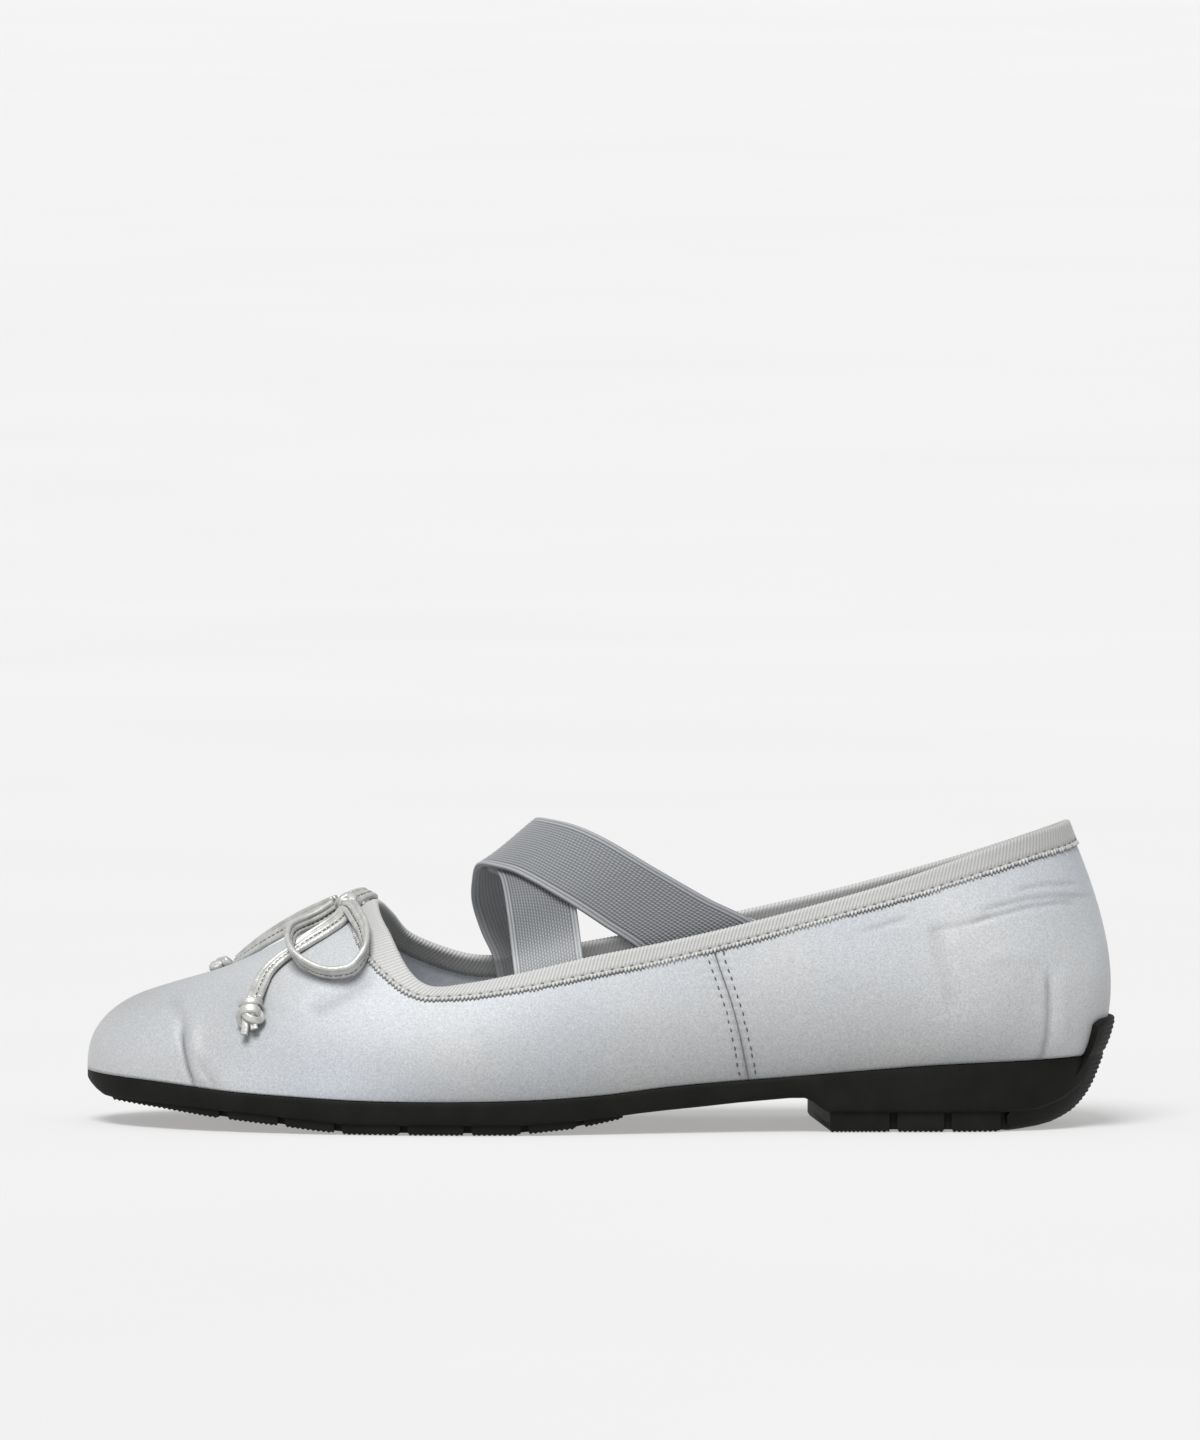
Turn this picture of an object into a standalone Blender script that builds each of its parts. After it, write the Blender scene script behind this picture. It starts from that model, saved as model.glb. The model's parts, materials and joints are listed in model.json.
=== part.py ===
"""Left ballet flat: satin upper, rubber outsole, bound collar, crossed elastics, lace bow.

Lengths are millimetres until a mesh is made. x runs from the toe tip to the heel,
y from the lateral side to the medial side, and z up from the floor.
"""

import math

import bmesh
import bpy
import numpy as np

MM = 0.001
LENGTH = 247.9
PLAN_MIDDLE = -0.85

GAP = 0.3
WALL = 1.7
COLUMNS = 88
ROWS = 12

TOE_ROUND = 42.0
NOSE_ROUND = 17.6
NOSE_POWER = 2.8
HEEL_X = 205.0
HEEL_BACK = 243.3
HEEL_POWER = 2.2
HEEL_TOP = 72.7
THROAT_X = 69.4

SOLE_LEDGE = 0.3
SOLE_EDGE_ROUND = 1.2
LUG_INSET = 0.7
LUG_BURIED = 1.0
HEEL_STEP = 4.7
INSOLE_THICK = 2.4
INSOLE_INSET = WALL + 0.6

TAB_HALF_SHARE = 0.049
TAB_HEIGHT = 8.8
TAB_THICK = 1.3

TAPE = 0.6
TAPE_OUTER = 4.4
TAPE_INNER = 3.0

STRAP_THICK = 1.2
STRAP_LIFT = 0.85
STRAP_FROM_WALL = 3.85
STRAP_DROP = 0.5

LACE_WIDTH = 4.2
LACE_THICK = 1.6

# The last, a row for each section. The ridge is set off from the centre line.
SECTION_COLUMNS = ("x", "centre", "half_width", "feather", "rise", "ridge", "fullness", "swell")
SECTIONS = [
    (0.0, 9.00, 28.5, 12.6, 14.6, 0.0, 2.20, 0.0),
    (20.0, 5.25, 30.2, 11.4, 22.0, 1.0, 2.20, 0.3),
    (35.0, 3.50, 32.2, 9.9, 28.2, 2.0, 2.10, 0.6),
    (50.0, 2.15, 35.2, 9.0, 36.2, 3.0, 2.00, 0.9),
    (65.0, 0.85, 37.2, 8.3, 43.1, 3.8, 1.90, 1.1),
    (80.0, -0.80, 37.8, 8.1, 49.5, 4.0, 1.80, 1.3),
    (95.0, -2.50, 36.8, 8.2, 53.2, 4.0, 1.80, 1.5),
    (110.0, -4.00, 34.3, 8.6, 64.6, 3.5, 1.80, 1.7),
    (125.0, -4.75, 31.2, 9.6, 76.0, 2.6, 1.85, 1.9),
    (140.0, -4.70, 28.3, 11.3, 84.0, 1.8, 1.90, 2.1),
    (155.0, -4.10, 26.5, 12.5, 88.0, 1.0, 1.95, 2.3),
    (170.0, -3.10, 25.9, 13.5, 90.0, 0.5, 2.00, 2.6),
    (185.0, -2.20, 26.2, 14.7, 90.0, 0.2, 2.10, 3.0),
    (205.0, -1.45, 26.8, 16.2, 90.0, 0.0, 2.20, 3.7),
    (225.0, -1.45, 26.8, 17.0, 90.0, 0.0, 2.20, 4.2),
    (244.0, -1.45, 26.8, 17.5, 90.0, 0.0, 2.20, 4.2),
]

# The front of the opening: offset from the ridge, x on each side.
THROAT_COLUMNS = ("offset", "lateral", "medial")
THROAT = [
    (7.0, 69.6, 70.6),
    (14.0, 70.5, 73.2),
    (20.0, 72.2, 77.4),
]

# The rest of the opening: height of the upper's edge on each side.
TOPLINE_COLUMNS = ("x", "lateral", "medial")
TOPLINE = [
    (84.0, 34.6, 41.0),
    (93.0, 35.5, 38.4),
    (104.0, 37.6, 38.6),
    (122.0, 41.7, 41.9),
    (140.0, 45.1, 45.4),
    (160.0, 49.6, 49.8),
    (176.0, 53.8, 53.4),
    (192.0, 58.4, 57.4),
    (217.0, 67.1, 64.6),
    (228.0, 70.6, 68.5),
    (234.0, 72.0, 71.0),
]

# Where a column of the upper starts at the feather edge and ends at the topline.
MATCH_COLUMNS = ("feather_x", "topline_x")
MATCH = [(58.0, 77.0), (100.0, 101.0), (160.0, 159.0), (205.0, 203.0)]

# Underside of the outsole between the lugs, the lugs' own underside, and the breast's slant.
BODY_COLUMNS = ("x", "bottom")
BODY = [
    (0.1, 10.8), (1.0, 9.7), (2.4, 8.5), (4.5, 7.2), (7.0, 6.8), (12.0, 6.6), (19.0, 6.2),
    (26.0, 5.7), (32.0, 5.2), (39.0, 4.7), (46.0, 4.1), (56.0, 3.1), (64.0, 2.4), (74.0, 2.4),
    (84.0, 2.4), (94.0, 2.4), (104.0, 2.4), (111.0, 2.8), (118.0, 3.3), (126.0, 4.1),
    (133.0, 5.0), (140.0, 5.7), (148.0, 6.4), (155.0, 7.1), (162.0, 7.8), (167.0, 8.3),
    (170.4, 8.3), (172.3, 7.4), (174.2, 5.8), (176.2, HEEL_STEP), (185.0, HEEL_STEP),
    (195.0, HEEL_STEP), (205.0, HEEL_STEP), (214.0, HEEL_STEP), (222.0, HEEL_STEP),
    (229.0, 5.2), (235.0, 7.5), (239.0, 10.2), (241.5, 12.8), (242.9, 14.8), (243.4, 15.8),
]
TREAD_COLUMNS = ("x", "bottom")
TREAD = [
    (6.5, 6.2), (9.0, 6.0), (19.0, 5.0), (32.0, 3.3), (46.0, 1.9), (56.0, 0.75), (64.0, 0.0),
    (104.0, 0.0), (118.7, 1.5), (126.0, 3.0), (130.0, 3.9),
]
LUG_COLUMNS = ("front", "back")
LUGS = [
    (6.5, 33.1), (34.9, 47.1), (48.7, 60.7), (62.3, 76.3), (78.1, 91.5), (93.3, 105.1),
    (106.8, 118.4), (120.1, 129.5),
]
HEEL_LUGS = [(176.4, 193.4), (195.0, 206.4), (208.0, 219.8)]
BREAST_COLUMNS = ("x", "slant")
BREAST = [(157.0, 0.0), (168.0, -0.09), (178.0, -0.09), (190.0, 0.0)]

# Rear lug rolling up the back of the heel: a row for each level.
REAR_COLUMNS = ("z", "front", "back", "half_width")
REAR = [
    (0.0, 221.4, 227.8, 25.8), (0.5, 221.4, 230.8, 26.4), (1.2, 221.4, 233.3, 26.7),
    (2.3, 221.4, 235.6, 26.9), (3.8, 221.4, 238.0, 27.0), (5.6, 222.4, 239.8, 27.1),
    (8.0, 230.5, 241.6, 27.2), (10.4, 235.3, 242.9, 27.2), (12.8, 238.2, 243.9, 27.2),
    (15.2, 240.2, 244.8, 27.2), (17.1, 241.2, 245.5, 27.2),
]

# Crossed elastics: angle over the instep from the ridge, x of front and rear edges.
STRAP_COLUMNS = ("angle", "front", "rear")
STRAP_OVER = [
    (104.0, 99.4, 118.3), (90.0, 98.0, 117.5), (75.0, 95.2, 115.6), (55.0, 93.0, 113.2),
    (30.0, 93.2, 110.5), (0.0, 95.2, 109.6), (-24.0, 99.3, 113.9), (-38.0, 103.4, 119.0),
    (-52.0, 108.4, 126.0), (-67.0, 115.8, 136.4), (-80.0, 124.4, 149.4), (-90.0, 133.0, 161.5),
    (-104.0, 142.0, 169.5),
]
STRAP_UNDER = [
    (-104.0, 104.4, 121.2), (-90.0, 103.5, 120.0), (-60.0, 101.6, 117.2), (-30.0, 99.6, 113.0),
    (0.0, 96.4, 109.6), (24.0, 97.4, 112.0), (38.0, 100.2, 116.2), (52.0, 105.6, 122.4),
    (67.0, 113.4, 131.6), (80.0, 122.6, 144.4), (90.0, 132.6, 158.0), (104.0, 142.0, 168.0),
]

# Bow lace on the vamp: plan place, lift off the vamp, and 1 standing on edge to 0 lying flat.
LACE_COLUMNS = ("x", "y", "lift", "stand")
LOOP_LATERAL = [
    (61.2, -1.9, 3.4, 1.0), (58.0, -4.0, 3.2, 1.0), (55.0, -5.4, 3.4, 1.0), (52.4, -7.4, 4.1, 1.0),
    (51.0, -12.6, 4.6, 1.0), (52.0, -17.6, 4.2, 1.0), (55.9, -21.6, 2.9, 1.0), (61.3, -24.2, 2.5, 1.0),
    (65.9, -24.4, 2.5, 1.0), (68.3, -22.3, 2.6, 1.0), (68.0, -17.0, 2.9, 1.0), (66.2, -10.3, 3.1, 1.0),
    (65.1, -3.2, 3.2, 1.0),
]
LOOP_MEDIAL = [
    (61.8, 5.8, 3.0, 1.0), (57.0, 10.6, 2.7, 1.0), (52.6, 16.6, 2.5, 1.0), (50.8, 22.4, 2.7, 1.0),
    (52.8, 27.4, 3.1, 1.0), (57.5, 30.0, 3.4, 1.0), (63.0, 29.6, 3.4, 1.0), (66.8, 26.0, 3.1, 1.0),
    (68.0, 19.5, 3.3, 1.0), (67.2, 12.0, 3.4, 1.0), (65.0, 5.8, 3.3, 1.0),
]
TAIL_LATERAL = [
    (61.8, -5.9, 1.3, 0.0), (58.6, -8.2, 1.2, 0.0), (54.3, -10.2, 1.2, 0.0), (50.7, -11.9, 1.2, 0.0),
    (47.8, -13.2, 1.2, 0.0), (44.3, -16.1, 1.2, 0.0), (42.8, -19.5, 1.4, 0.0),
]
TAIL_MEDIAL = [
    (59.4, 2.9, 1.3, 0.05), (56.5, 5.4, 1.4, 0.1), (53.0, 8.2, 1.6, 0.2), (47.6, 11.6, 1.6, 0.2),
    (42.6, 14.6, 1.6, 0.2), (36.4, 19.2, 1.6, 0.2),
]
KNOT_COLUMNS = ("x", "y", "lift", "along", "across", "deep")
BOW_KNOT = (63.2, 1.2, 2.6, 2.9, 3.5, 2.2)
END_LATERAL = (41.2, -25.0, 3.2, 4.9, 3.4, 2.8)
END_MEDIAL = (32.3, 21.5, 2.3, 3.6, 3.0, 1.9)


def table(columns, rows):
    """Rows of a table as one array for each named column."""
    return dict(zip(columns, np.array(rows, dtype=float).T))


def smooth(x, stations, values):
    """Value at x on a smooth curve through a table's rows."""
    slopes = np.gradient(values, stations)
    x = np.clip(x, stations[0], stations[-1])
    i = np.clip(np.searchsorted(stations, x, side="right") - 1, 0, len(stations) - 2)
    width = stations[i + 1] - stations[i]
    u = (x - stations[i]) / width
    rise = values[i + 1] - values[i]
    start = slopes[i] * width - rise
    end = rise - slopes[i + 1] * width
    return values[i] + u * rise + u * (1 - u) * (start * (1 - u) + end * u)


def along(share, shares, points):
    """Points at the given shares of a polyline."""
    return np.stack([np.interp(share, shares, points[:, k]) for k in range(points.shape[1])], axis=-1)


def shares_of(points):
    """Share of its length at which each point of a polyline lies."""
    steps = np.linalg.norm(np.diff(points, axis=0), axis=1)
    lengths = np.concatenate([[0.0], np.cumsum(steps)])
    return lengths / lengths[-1]


def unit(vectors):
    """Vectors brought to length one."""
    return vectors / np.maximum(np.linalg.norm(vectors, axis=-1, keepdims=True), 1e-9)


def rounded(x, length, power):
    """Nought at a tip and one from the given length on, along a superellipse."""
    back = 1 - np.clip(x / length, 0.0, 1.0)
    return (1 - back ** power) ** (1 / power)


LAST = table(SECTION_COLUMNS, SECTIONS)


def last(name, x):
    """One quantity of the last at x."""
    return smooth(x, LAST["x"], LAST[name])


def feather_y(x, side, out=0.0, back=HEEL_BACK):
    """Plan place of the feather edge at x, moved outward."""
    behind = np.clip((x - HEEL_X) / (back - HEEL_X), 0.0, 1.0)
    taper = (1 - behind ** HEEL_POWER) ** (1 / HEEL_POWER)
    half = (last("half_width", x) + out) * rounded(x, TOE_ROUND, 2.0) * taper
    return last("centre", x) + side * half


def reach_at(x, y):
    """Share of the way from the ridge to the feather edge at a plan point."""
    ridge_y = last("centre", x) + last("ridge", x)
    side = np.where(y < ridge_y, -1.0, 1.0)
    edge = last("centre", x) + side * last("half_width", x) * rounded(x, TOE_ROUND, 2.0)
    across = np.abs(y - ridge_y) / np.maximum(np.abs(edge - ridge_y), 1e-6)
    behind = np.clip((x - HEEL_X) / (HEEL_BACK - HEEL_X), 0.0, 1.0)
    return (across ** HEEL_POWER + behind ** HEEL_POWER) ** (1 / HEEL_POWER)


def last_height(x, y, limit=1.0):
    """Height of the last's skin over a plan point, the feather edge at the limit."""
    full = last("fullness", x)
    arch = (1 - np.clip(reach_at(x, y) / limit, 0.0, 1.0) ** full) ** (1 / full)
    return last("feather", x) + last("rise", x) * rounded(x, NOSE_ROUND, NOSE_POWER) * arch


def wall_y(x, z, side):
    """Plan place of the last's skin at a height on one side."""
    full = last("fullness", x)
    arch = np.clip((z - last("feather", x)) / last("rise", x), 0.0, 1.0)
    reach = (1 - arch ** full) ** (1 / full)
    behind = np.clip((x - HEEL_X) / (HEEL_BACK - HEEL_X), 0.0, 1.0)
    across = np.maximum(reach ** HEEL_POWER - behind ** HEEL_POWER, 0.0) ** (1 / HEEL_POWER)
    ridge_y = last("centre", x) + last("ridge", x)
    edge = last("centre", x) + side * last("half_width", x)
    return ridge_y + (edge - ridge_y) * across


def outline(side):
    """Feather edge of one side in plan, from the toe tip to the heel's back."""
    turn = np.linspace(0.0, math.pi / 2, 60)
    run = np.linspace(TOE_ROUND, HEEL_X, 120)[1:]
    x = np.concatenate([TOE_ROUND * (1 - np.cos(turn)), run])
    y = feather_y(x, side)
    heel_x = HEEL_X + (HEEL_BACK - HEEL_X) * np.sin(turn[1:]) ** (2 / HEEL_POWER)
    half = last("half_width", heel_x) * np.abs(np.cos(turn[1:])) ** (2 / HEEL_POWER)
    heel_y = last("centre", heel_x) + side * half
    return np.column_stack([np.concatenate([x, heel_x]), np.concatenate([y, heel_y])])


def topline_points(name, side):
    """Places the opening's edge passes on one side, throat first."""
    throat = table(THROAT_COLUMNS, THROAT)
    start = last("centre", THROAT_X) + last("ridge", THROAT_X)
    y = start + side * throat["offset"]
    front = np.column_stack([throat[name], y, last_height(throat[name], y)])
    rest = table(TOPLINE_COLUMNS, TOPLINE)
    back = np.column_stack([rest["x"], wall_y(rest["x"], rest[name], side), rest[name]])
    return np.concatenate([front, back])


def closed_curve(points, steps):
    """Smooth closed polyline through points, a number of steps to each span."""
    ahead = np.roll(points, -1, axis=0)
    before = np.roll(points, 1, axis=0)
    gone = np.linalg.norm(points - before, axis=1)[:, None]
    left = np.linalg.norm(ahead - points, axis=1)[:, None]
    slope = ((points - before) / gone * left + (ahead - points) / left * gone) / (gone + left)
    u = np.linspace(0.0, 1.0, steps, endpoint=False)[None, :, None]
    rise = (ahead - points)[:, None]
    first = (slope * left)[:, None] - rise
    second = rise - (np.roll(slope, -1, axis=0) * left)[:, None]
    curve = points[:, None] + u * rise + u * (1 - u) * (first * (1 - u) + second * u)
    return curve.reshape(-1, 3)


def opening():
    """Closed edge of the opening and its number of points to the heel's back."""
    centre = last("centre", THROAT_X) + last("ridge", THROAT_X)
    front = [[THROAT_X, centre, float(last_height(THROAT_X, centre))]]
    arch = (HEEL_TOP - last("feather", HEEL_BACK)) / last("rise", HEEL_BACK)
    reach = (1 - arch ** HEEL_POWER) ** (1 / HEEL_POWER)
    back = [[HEEL_X + reach * (HEEL_BACK - HEEL_X), float(last("centre", HEEL_BACK)), HEEL_TOP]]
    lateral = topline_points("lateral", -1.0)
    medial = topline_points("medial", 1.0)[::-1]
    steps = 24
    curve = closed_curve(np.concatenate([front, lateral, back, medial]), steps)
    return np.concatenate([curve, curve[:1]]), (len(lateral) + 1) * steps


TOP, TOP_BACK = opening()
EDGE_LATERAL = outline(-1.0)
EDGE_MEDIAL = outline(1.0)
EDGE = np.concatenate([EDGE_LATERAL, EDGE_MEDIAL[-2::-1]])
EDGE_AROUND = np.concatenate([shares_of(EDGE_LATERAL), 2 - shares_of(EDGE_MEDIAL)[-2::-1]])


def edge_normals():
    """Outward plan direction at each point of the feather edge."""
    closed = EDGE[:-1]
    run = unit(np.roll(closed, -1, axis=0) - np.roll(closed, 1, axis=0))
    turned = np.column_stack([run[:, 1], -run[:, 0]])
    outward = closed - closed.mean(axis=0)
    sign = np.sign(np.sum(turned * outward))
    turned = turned * sign
    return np.concatenate([turned, turned[:1]])


EDGE_NORMAL = edge_normals()


def matched():
    """Shares of the topline against places around the feather edge."""
    match = table(MATCH_COLUMNS, MATCH)
    lateral = TOP[:TOP_BACK + 1]
    medial = TOP[TOP_BACK:][::-1]
    total = shares_of(TOP)
    around_1 = np.interp(match["feather_x"], EDGE_LATERAL[:, 0], shares_of(EDGE_LATERAL))
    share_1 = np.interp(match["topline_x"], lateral[:, 0], total[:TOP_BACK + 1])
    around_2 = 2 - np.interp(match["feather_x"], EDGE_MEDIAL[:, 0], shares_of(EDGE_MEDIAL))
    share_2 = np.interp(match["topline_x"], medial[:, 0], total[TOP_BACK:][::-1])
    around = np.concatenate([[0.0], around_1, [1.0], around_2[::-1], [2.0]])
    share = np.concatenate([[0.0], share_1, [total[TOP_BACK]], share_2[::-1], [1.0]])
    return around, share


MATCH_AROUND, MATCH_SHARE = matched()


def swelling(share):
    """Side bulge of the wall from its foot to its top, one at its fullest."""
    share = np.clip(share, 0.0, 1.0)
    return share ** 0.8 * (1 - share) ** 1.4 / 0.2364


def skin(around, up):
    """Outer skin of the upper: around from the toe by the lateral side, up from feather to edge."""
    around = np.mod(around, 2.0)[:, None]
    up = up[None, :]
    foot = along(around[:, 0], EDGE_AROUND, EDGE)
    out = unit(along(around[:, 0], EDGE_AROUND, EDGE_NORMAL))
    top = along(smooth(around[:, 0], MATCH_AROUND, MATCH_SHARE), shares_of(TOP), TOP)
    share = 1 - np.cos(up * math.pi / 2)
    x = foot[:, :1] + (top[:, :1] - foot[:, :1]) * share
    y = foot[:, 1:2] + (top[:, 1:2] - foot[:, 1:2]) * share
    base = last("feather", foot[:, :1])
    limit = np.where(foot[:, :1] > 0.02, reach_at(foot[:, :1], foot[:, 1:2]), 1.0)
    reach = (top[:, 2:3] - base) / (last_height(top[:, :1], top[:, 1:2], limit) - base)
    z = base + (last_height(x, y, limit) - base) * reach
    bulge = last("swell", foot[:, :1]) * swelling((z - base) / (top[:, 2:3] - base))
    return np.stack([x + bulge * out[:, :1], y + bulge * out[:, 1:2], z], axis=-1)


def skin_normals(points):
    """Outward directions of a closed-around grid of skin points."""
    around = np.roll(points, -1, axis=0) - np.roll(points, 1, axis=0)
    up = np.gradient(points, axis=1)
    return unit(np.cross(around, up))


def mesh_object(name, points, faces, collection, colour, roughness, sheet=False):
    """Mesh from millimetre points with its own material; a sheet keeps its faces' order."""
    placed = (np.asarray(points, dtype=float) - np.array([LENGTH / 2, PLAN_MIDDLE, 0.0])) * MM
    mesh = bpy.data.meshes.new(name)
    mesh.from_pydata(placed.tolist(), [], faces)
    if not sheet:
        work = bmesh.new()
        work.from_mesh(mesh)
        bmesh.ops.recalc_face_normals(work, faces=work.faces)
        work.to_mesh(mesh)
        work.free()
    item = bpy.data.objects.new(name, mesh)
    collection.objects.link(item)
    material = bpy.data.materials.new(name)
    material.use_nodes = True
    shader = material.node_tree.nodes["Principled BSDF"]
    shader.inputs["Base Color"].default_value = colour + (1.0,)
    shader.inputs["Roughness"].default_value = roughness
    mesh.materials.append(material)
    return item


def loft_faces(count, ring, closed):
    """Faces joining rings of points, capped at both ends unless closed on themselves."""
    faces = []
    spans = count if closed else count - 1
    for i in range(spans):
        a = i * ring
        b = ((i + 1) % count) * ring
        for j in range(ring):
            k = (j + 1) % ring
            faces.append((a + j, a + k, b + k, b + j))
    if not closed:
        faces.append(tuple(range(ring)))
        faces.append(tuple(range((count - 1) * ring, count * ring)))
    return faces


def loft(name, rings, collection, colour, roughness, closed=False):
    """Solid through rings of points."""
    count, ring = rings.shape[:2]
    faces = loft_faces(count, ring, closed)
    return mesh_object(name, rings.reshape(-1, 3), faces, collection, colour, roughness)


def slab_rings(x, lateral, medial, top, bottom, edge_round, slant):
    """Sections of a slab lying across the shoe, with a rounded lower edge."""
    rings = []
    for i in range(len(x)):
        width = medial[i] - lateral[i]
        thick = top[i] - bottom[i]
        turn = min(edge_round, 0.35 * thick, 0.3 * width)
        y = [lateral[i], lateral[i], lateral[i] + 0.3 * turn, lateral[i] + turn]
        y += [medial[i] - turn, medial[i] - 0.3 * turn, medial[i], medial[i]]
        z = [top[i], bottom[i] + turn, bottom[i] + 0.3 * turn, bottom[i]]
        z += z[::-1]
        rings.append([(x[i] + slant[i] * y[k], y[k], z[k]) for k in range(8)])
    return np.array(rings)


def body_bottom(x):
    """Height of the outsole's underside between the lugs."""
    body = table(BODY_COLUMNS, BODY)
    return np.interp(x, body["x"], body["bottom"])


def slant_at(x):
    """Slant of the heel breast across the shoe at x."""
    breast = table(BREAST_COLUMNS, BREAST)
    return np.interp(x, breast["x"], breast["slant"])


def lug(name, front, back, floor, ceiling, collection):
    """One tread lug standing under the outsole."""
    tread = table(TREAD_COLUMNS, TREAD)
    inside = tread["x"][(tread["x"] > front + 0.5) & (tread["x"] < back - 0.5)]
    x = np.concatenate([[front], inside, np.linspace(front, back, 3)[1:]])
    x = np.unique(np.round(x, 3))
    lateral = feather_y(x, -1.0) + LUG_INSET
    medial = feather_y(x, 1.0) - LUG_INSET
    rings = slab_rings(x, lateral, medial, ceiling(x), floor(x), 0.5, slant_at(x))
    return loft(name, rings, collection, (0.015, 0.015, 0.014), 0.6)


def outsole(parts, cutters):
    """Rubber unit: body with toe spring and arch, lugs, rear lug and heel tab as one solid."""
    colour = (0.015, 0.015, 0.014)
    x = table(BODY_COLUMNS, BODY)["x"]
    lateral = feather_y(x, -1.0, SOLE_LEDGE, HEEL_BACK + SOLE_LEDGE)
    medial = feather_y(x, 1.0, SOLE_LEDGE, HEEL_BACK + SOLE_LEDGE)
    rings = slab_rings(x, lateral, medial, last("feather", x) - GAP, body_bottom(x),
                       SOLE_EDGE_ROUND, np.zeros(len(x)))
    rings[:, 2:6, 0] += slant_at(x)[:, None] * rings[:, 2:6, 1]
    body = loft("outsole", rings, parts, colour, 0.6)

    tread = table(TREAD_COLUMNS, TREAD)

    def tread_floor(x):
        return np.interp(x, tread["x"], tread["bottom"])

    def tread_ceiling(x):
        return body_bottom(x) + LUG_BURIED

    def heel_floor(x):
        return np.zeros_like(x)

    def heel_ceiling(x):
        return np.full_like(x, HEEL_STEP + LUG_BURIED)

    for i, (front, back) in enumerate(LUGS):
        lug(f"lug_{i + 1}", front, back, tread_floor, tread_ceiling, cutters)
    for i, (front, back) in enumerate(HEEL_LUGS):
        lug(f"heel_lug_{i + 1}", front, back, heel_floor, heel_ceiling, cutters)

    rear_lug(cutters, colour)
    heel_tab(cutters, colour)

    union = body.modifiers.new("lugs", "BOOLEAN")
    union.operation = "UNION"
    union.operand_type = "COLLECTION"
    union.collection = cutters
    union.solver = "EXACT"
    return body


def rear_lug(collection, colour):
    """Raised tread band rolling from the heel's underside up its back."""
    rear = table(REAR_COLUMNS, REAR)
    rings = []
    for i in range(len(rear["z"])):
        back = rear["back"][i]
        edge = math.acos(((rear["front"][i] - HEEL_X) / (back - HEEL_X)) ** (HEEL_POWER / 2))
        turn = np.linspace(-edge, edge, 17)
        x = HEEL_X + (back - HEEL_X) * np.cos(turn) ** (2 / HEEL_POWER)
        wide = rear["half_width"][i] * np.abs(np.sin(turn)) ** (2 / HEEL_POWER) * np.sign(turn)
        y = last("centre", HEEL_BACK) + wide
        rings.append(np.column_stack([x, y, np.full(len(x), rear["z"][i])]))
    return loft("rear_lug", np.array(rings), collection, colour, 0.6)


def heel_tab(collection, colour):
    """Tab rising from the outsole up the heel's back, hugging the upper."""
    around = 1 + np.linspace(-TAB_HALF_SHARE, TAB_HALF_SHARE, 13)
    up = np.linspace(0.0, 0.5, 60)
    points = skin(around, up)
    out = unit(along(around, EDGE_AROUND, EDGE_NORMAL))
    rings = []
    for i in range(len(around)):
        edge = abs(around[i] - 1) / TAB_HALF_SHARE
        height = TAB_HEIGHT * (1 - 0.28 * edge ** 8)
        side = np.array([out[i, 0], out[i, 1], 0.0])
        base = points[i, 0]
        outer = [base + side * 0.9 - [0.0, 0.0, 4.0], base + side * (GAP + 1.9)]
        inner = [base - side * 3.0 - [0.0, 0.0, 4.0], base - side * 2.0 - [0.0, 0.0, 1.2]]
        inner.append(base + side * GAP - [0.0, 0.0, 0.1])
        lean = np.gradient(points[i], axis=0)
        for share in (0.35, 0.7, 0.92, 1.0):
            z = base[2] + share * height
            place = along(np.array([z]), points[i, :, 2], points[i])[0]
            run = along(np.array([z]), points[i, :, 2], lean)[0]
            level = math.hypot(run[0], run[1]) * np.sign(run[0] * side[0] + run[1] * side[1])
            normal = unit(side * run[2] - np.array([0.0, 0.0, level]))
            thick = TAB_THICK * (0.62 if share == 1.0 else 1.0)
            outer.append(place + normal * (GAP + thick))
            inner.append(place + normal * GAP)
        rings.append(outer + inner[::-1])
    return loft("heel_tab", np.array(rings), collection, colour, 0.6)


def insole(parts):
    """Sock board lying on the outsole inside the upper."""
    front = INSOLE_INSET + 1.0
    back = HEEL_BACK - INSOLE_INSET - 1.0
    turn = np.linspace(0.0, math.pi / 2, 8)
    x = np.concatenate([front + 30 * (1 - np.cos(turn)), np.linspace(front + 30, 204, 15)[1:],
                        204 + (back - 204) * np.sin(turn[1:])])
    half = last("half_width", x) - INSOLE_INSET
    behind = np.clip((x - 204) / (back + 0.25 - 204), 0.0, 1.0)
    half = half * rounded(x - front + 0.25, TOE_ROUND - 3, 2.0) * (1 - behind ** 2.2) ** (1 / 2.2)
    lateral = last("centre", x) - half
    medial = last("centre", x) + half
    bottom = last("feather", x)
    rings = slab_rings(x, lateral, medial, bottom + INSOLE_THICK, bottom, 0.4, np.zeros(len(x)))
    return loft("insole", rings, parts, (0.55, 0.53, 0.50), 0.8)


def upper(parts):
    """Hollow satin shell, open at the collar and underneath."""
    points = skin(2 * np.arange(COLUMNS) / COLUMNS, np.linspace(0.0, 1.0, ROWS))
    faces = []
    for i in range(COLUMNS):
        k = (i + 1) % COLUMNS
        for j in range(ROWS - 1):
            a, b = i * ROWS + j, k * ROWS + j
            faces.append((a, b, b + 1, a + 1))
    item = mesh_object("upper", points.reshape(-1, 3), faces, parts, (0.55, 0.58, 0.60), 0.4, sheet=True)
    shell = item.modifiers.new("wall", "SOLIDIFY")
    shell.thickness = WALL * MM
    shell.offset = -1.0
    shell.use_even_offset = True
    shell.use_rim = True
    return points


def below_edge(points, depth):
    """Point of each column at a depth below the upper's edge."""
    places = []
    for column in points:
        run = column[::-1]
        steps = np.linalg.norm(np.diff(run, axis=0), axis=1)
        places.append(along(np.array([depth]), np.concatenate([[0.0], np.cumsum(steps)]), run)[0])
    return np.array(places)


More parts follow.
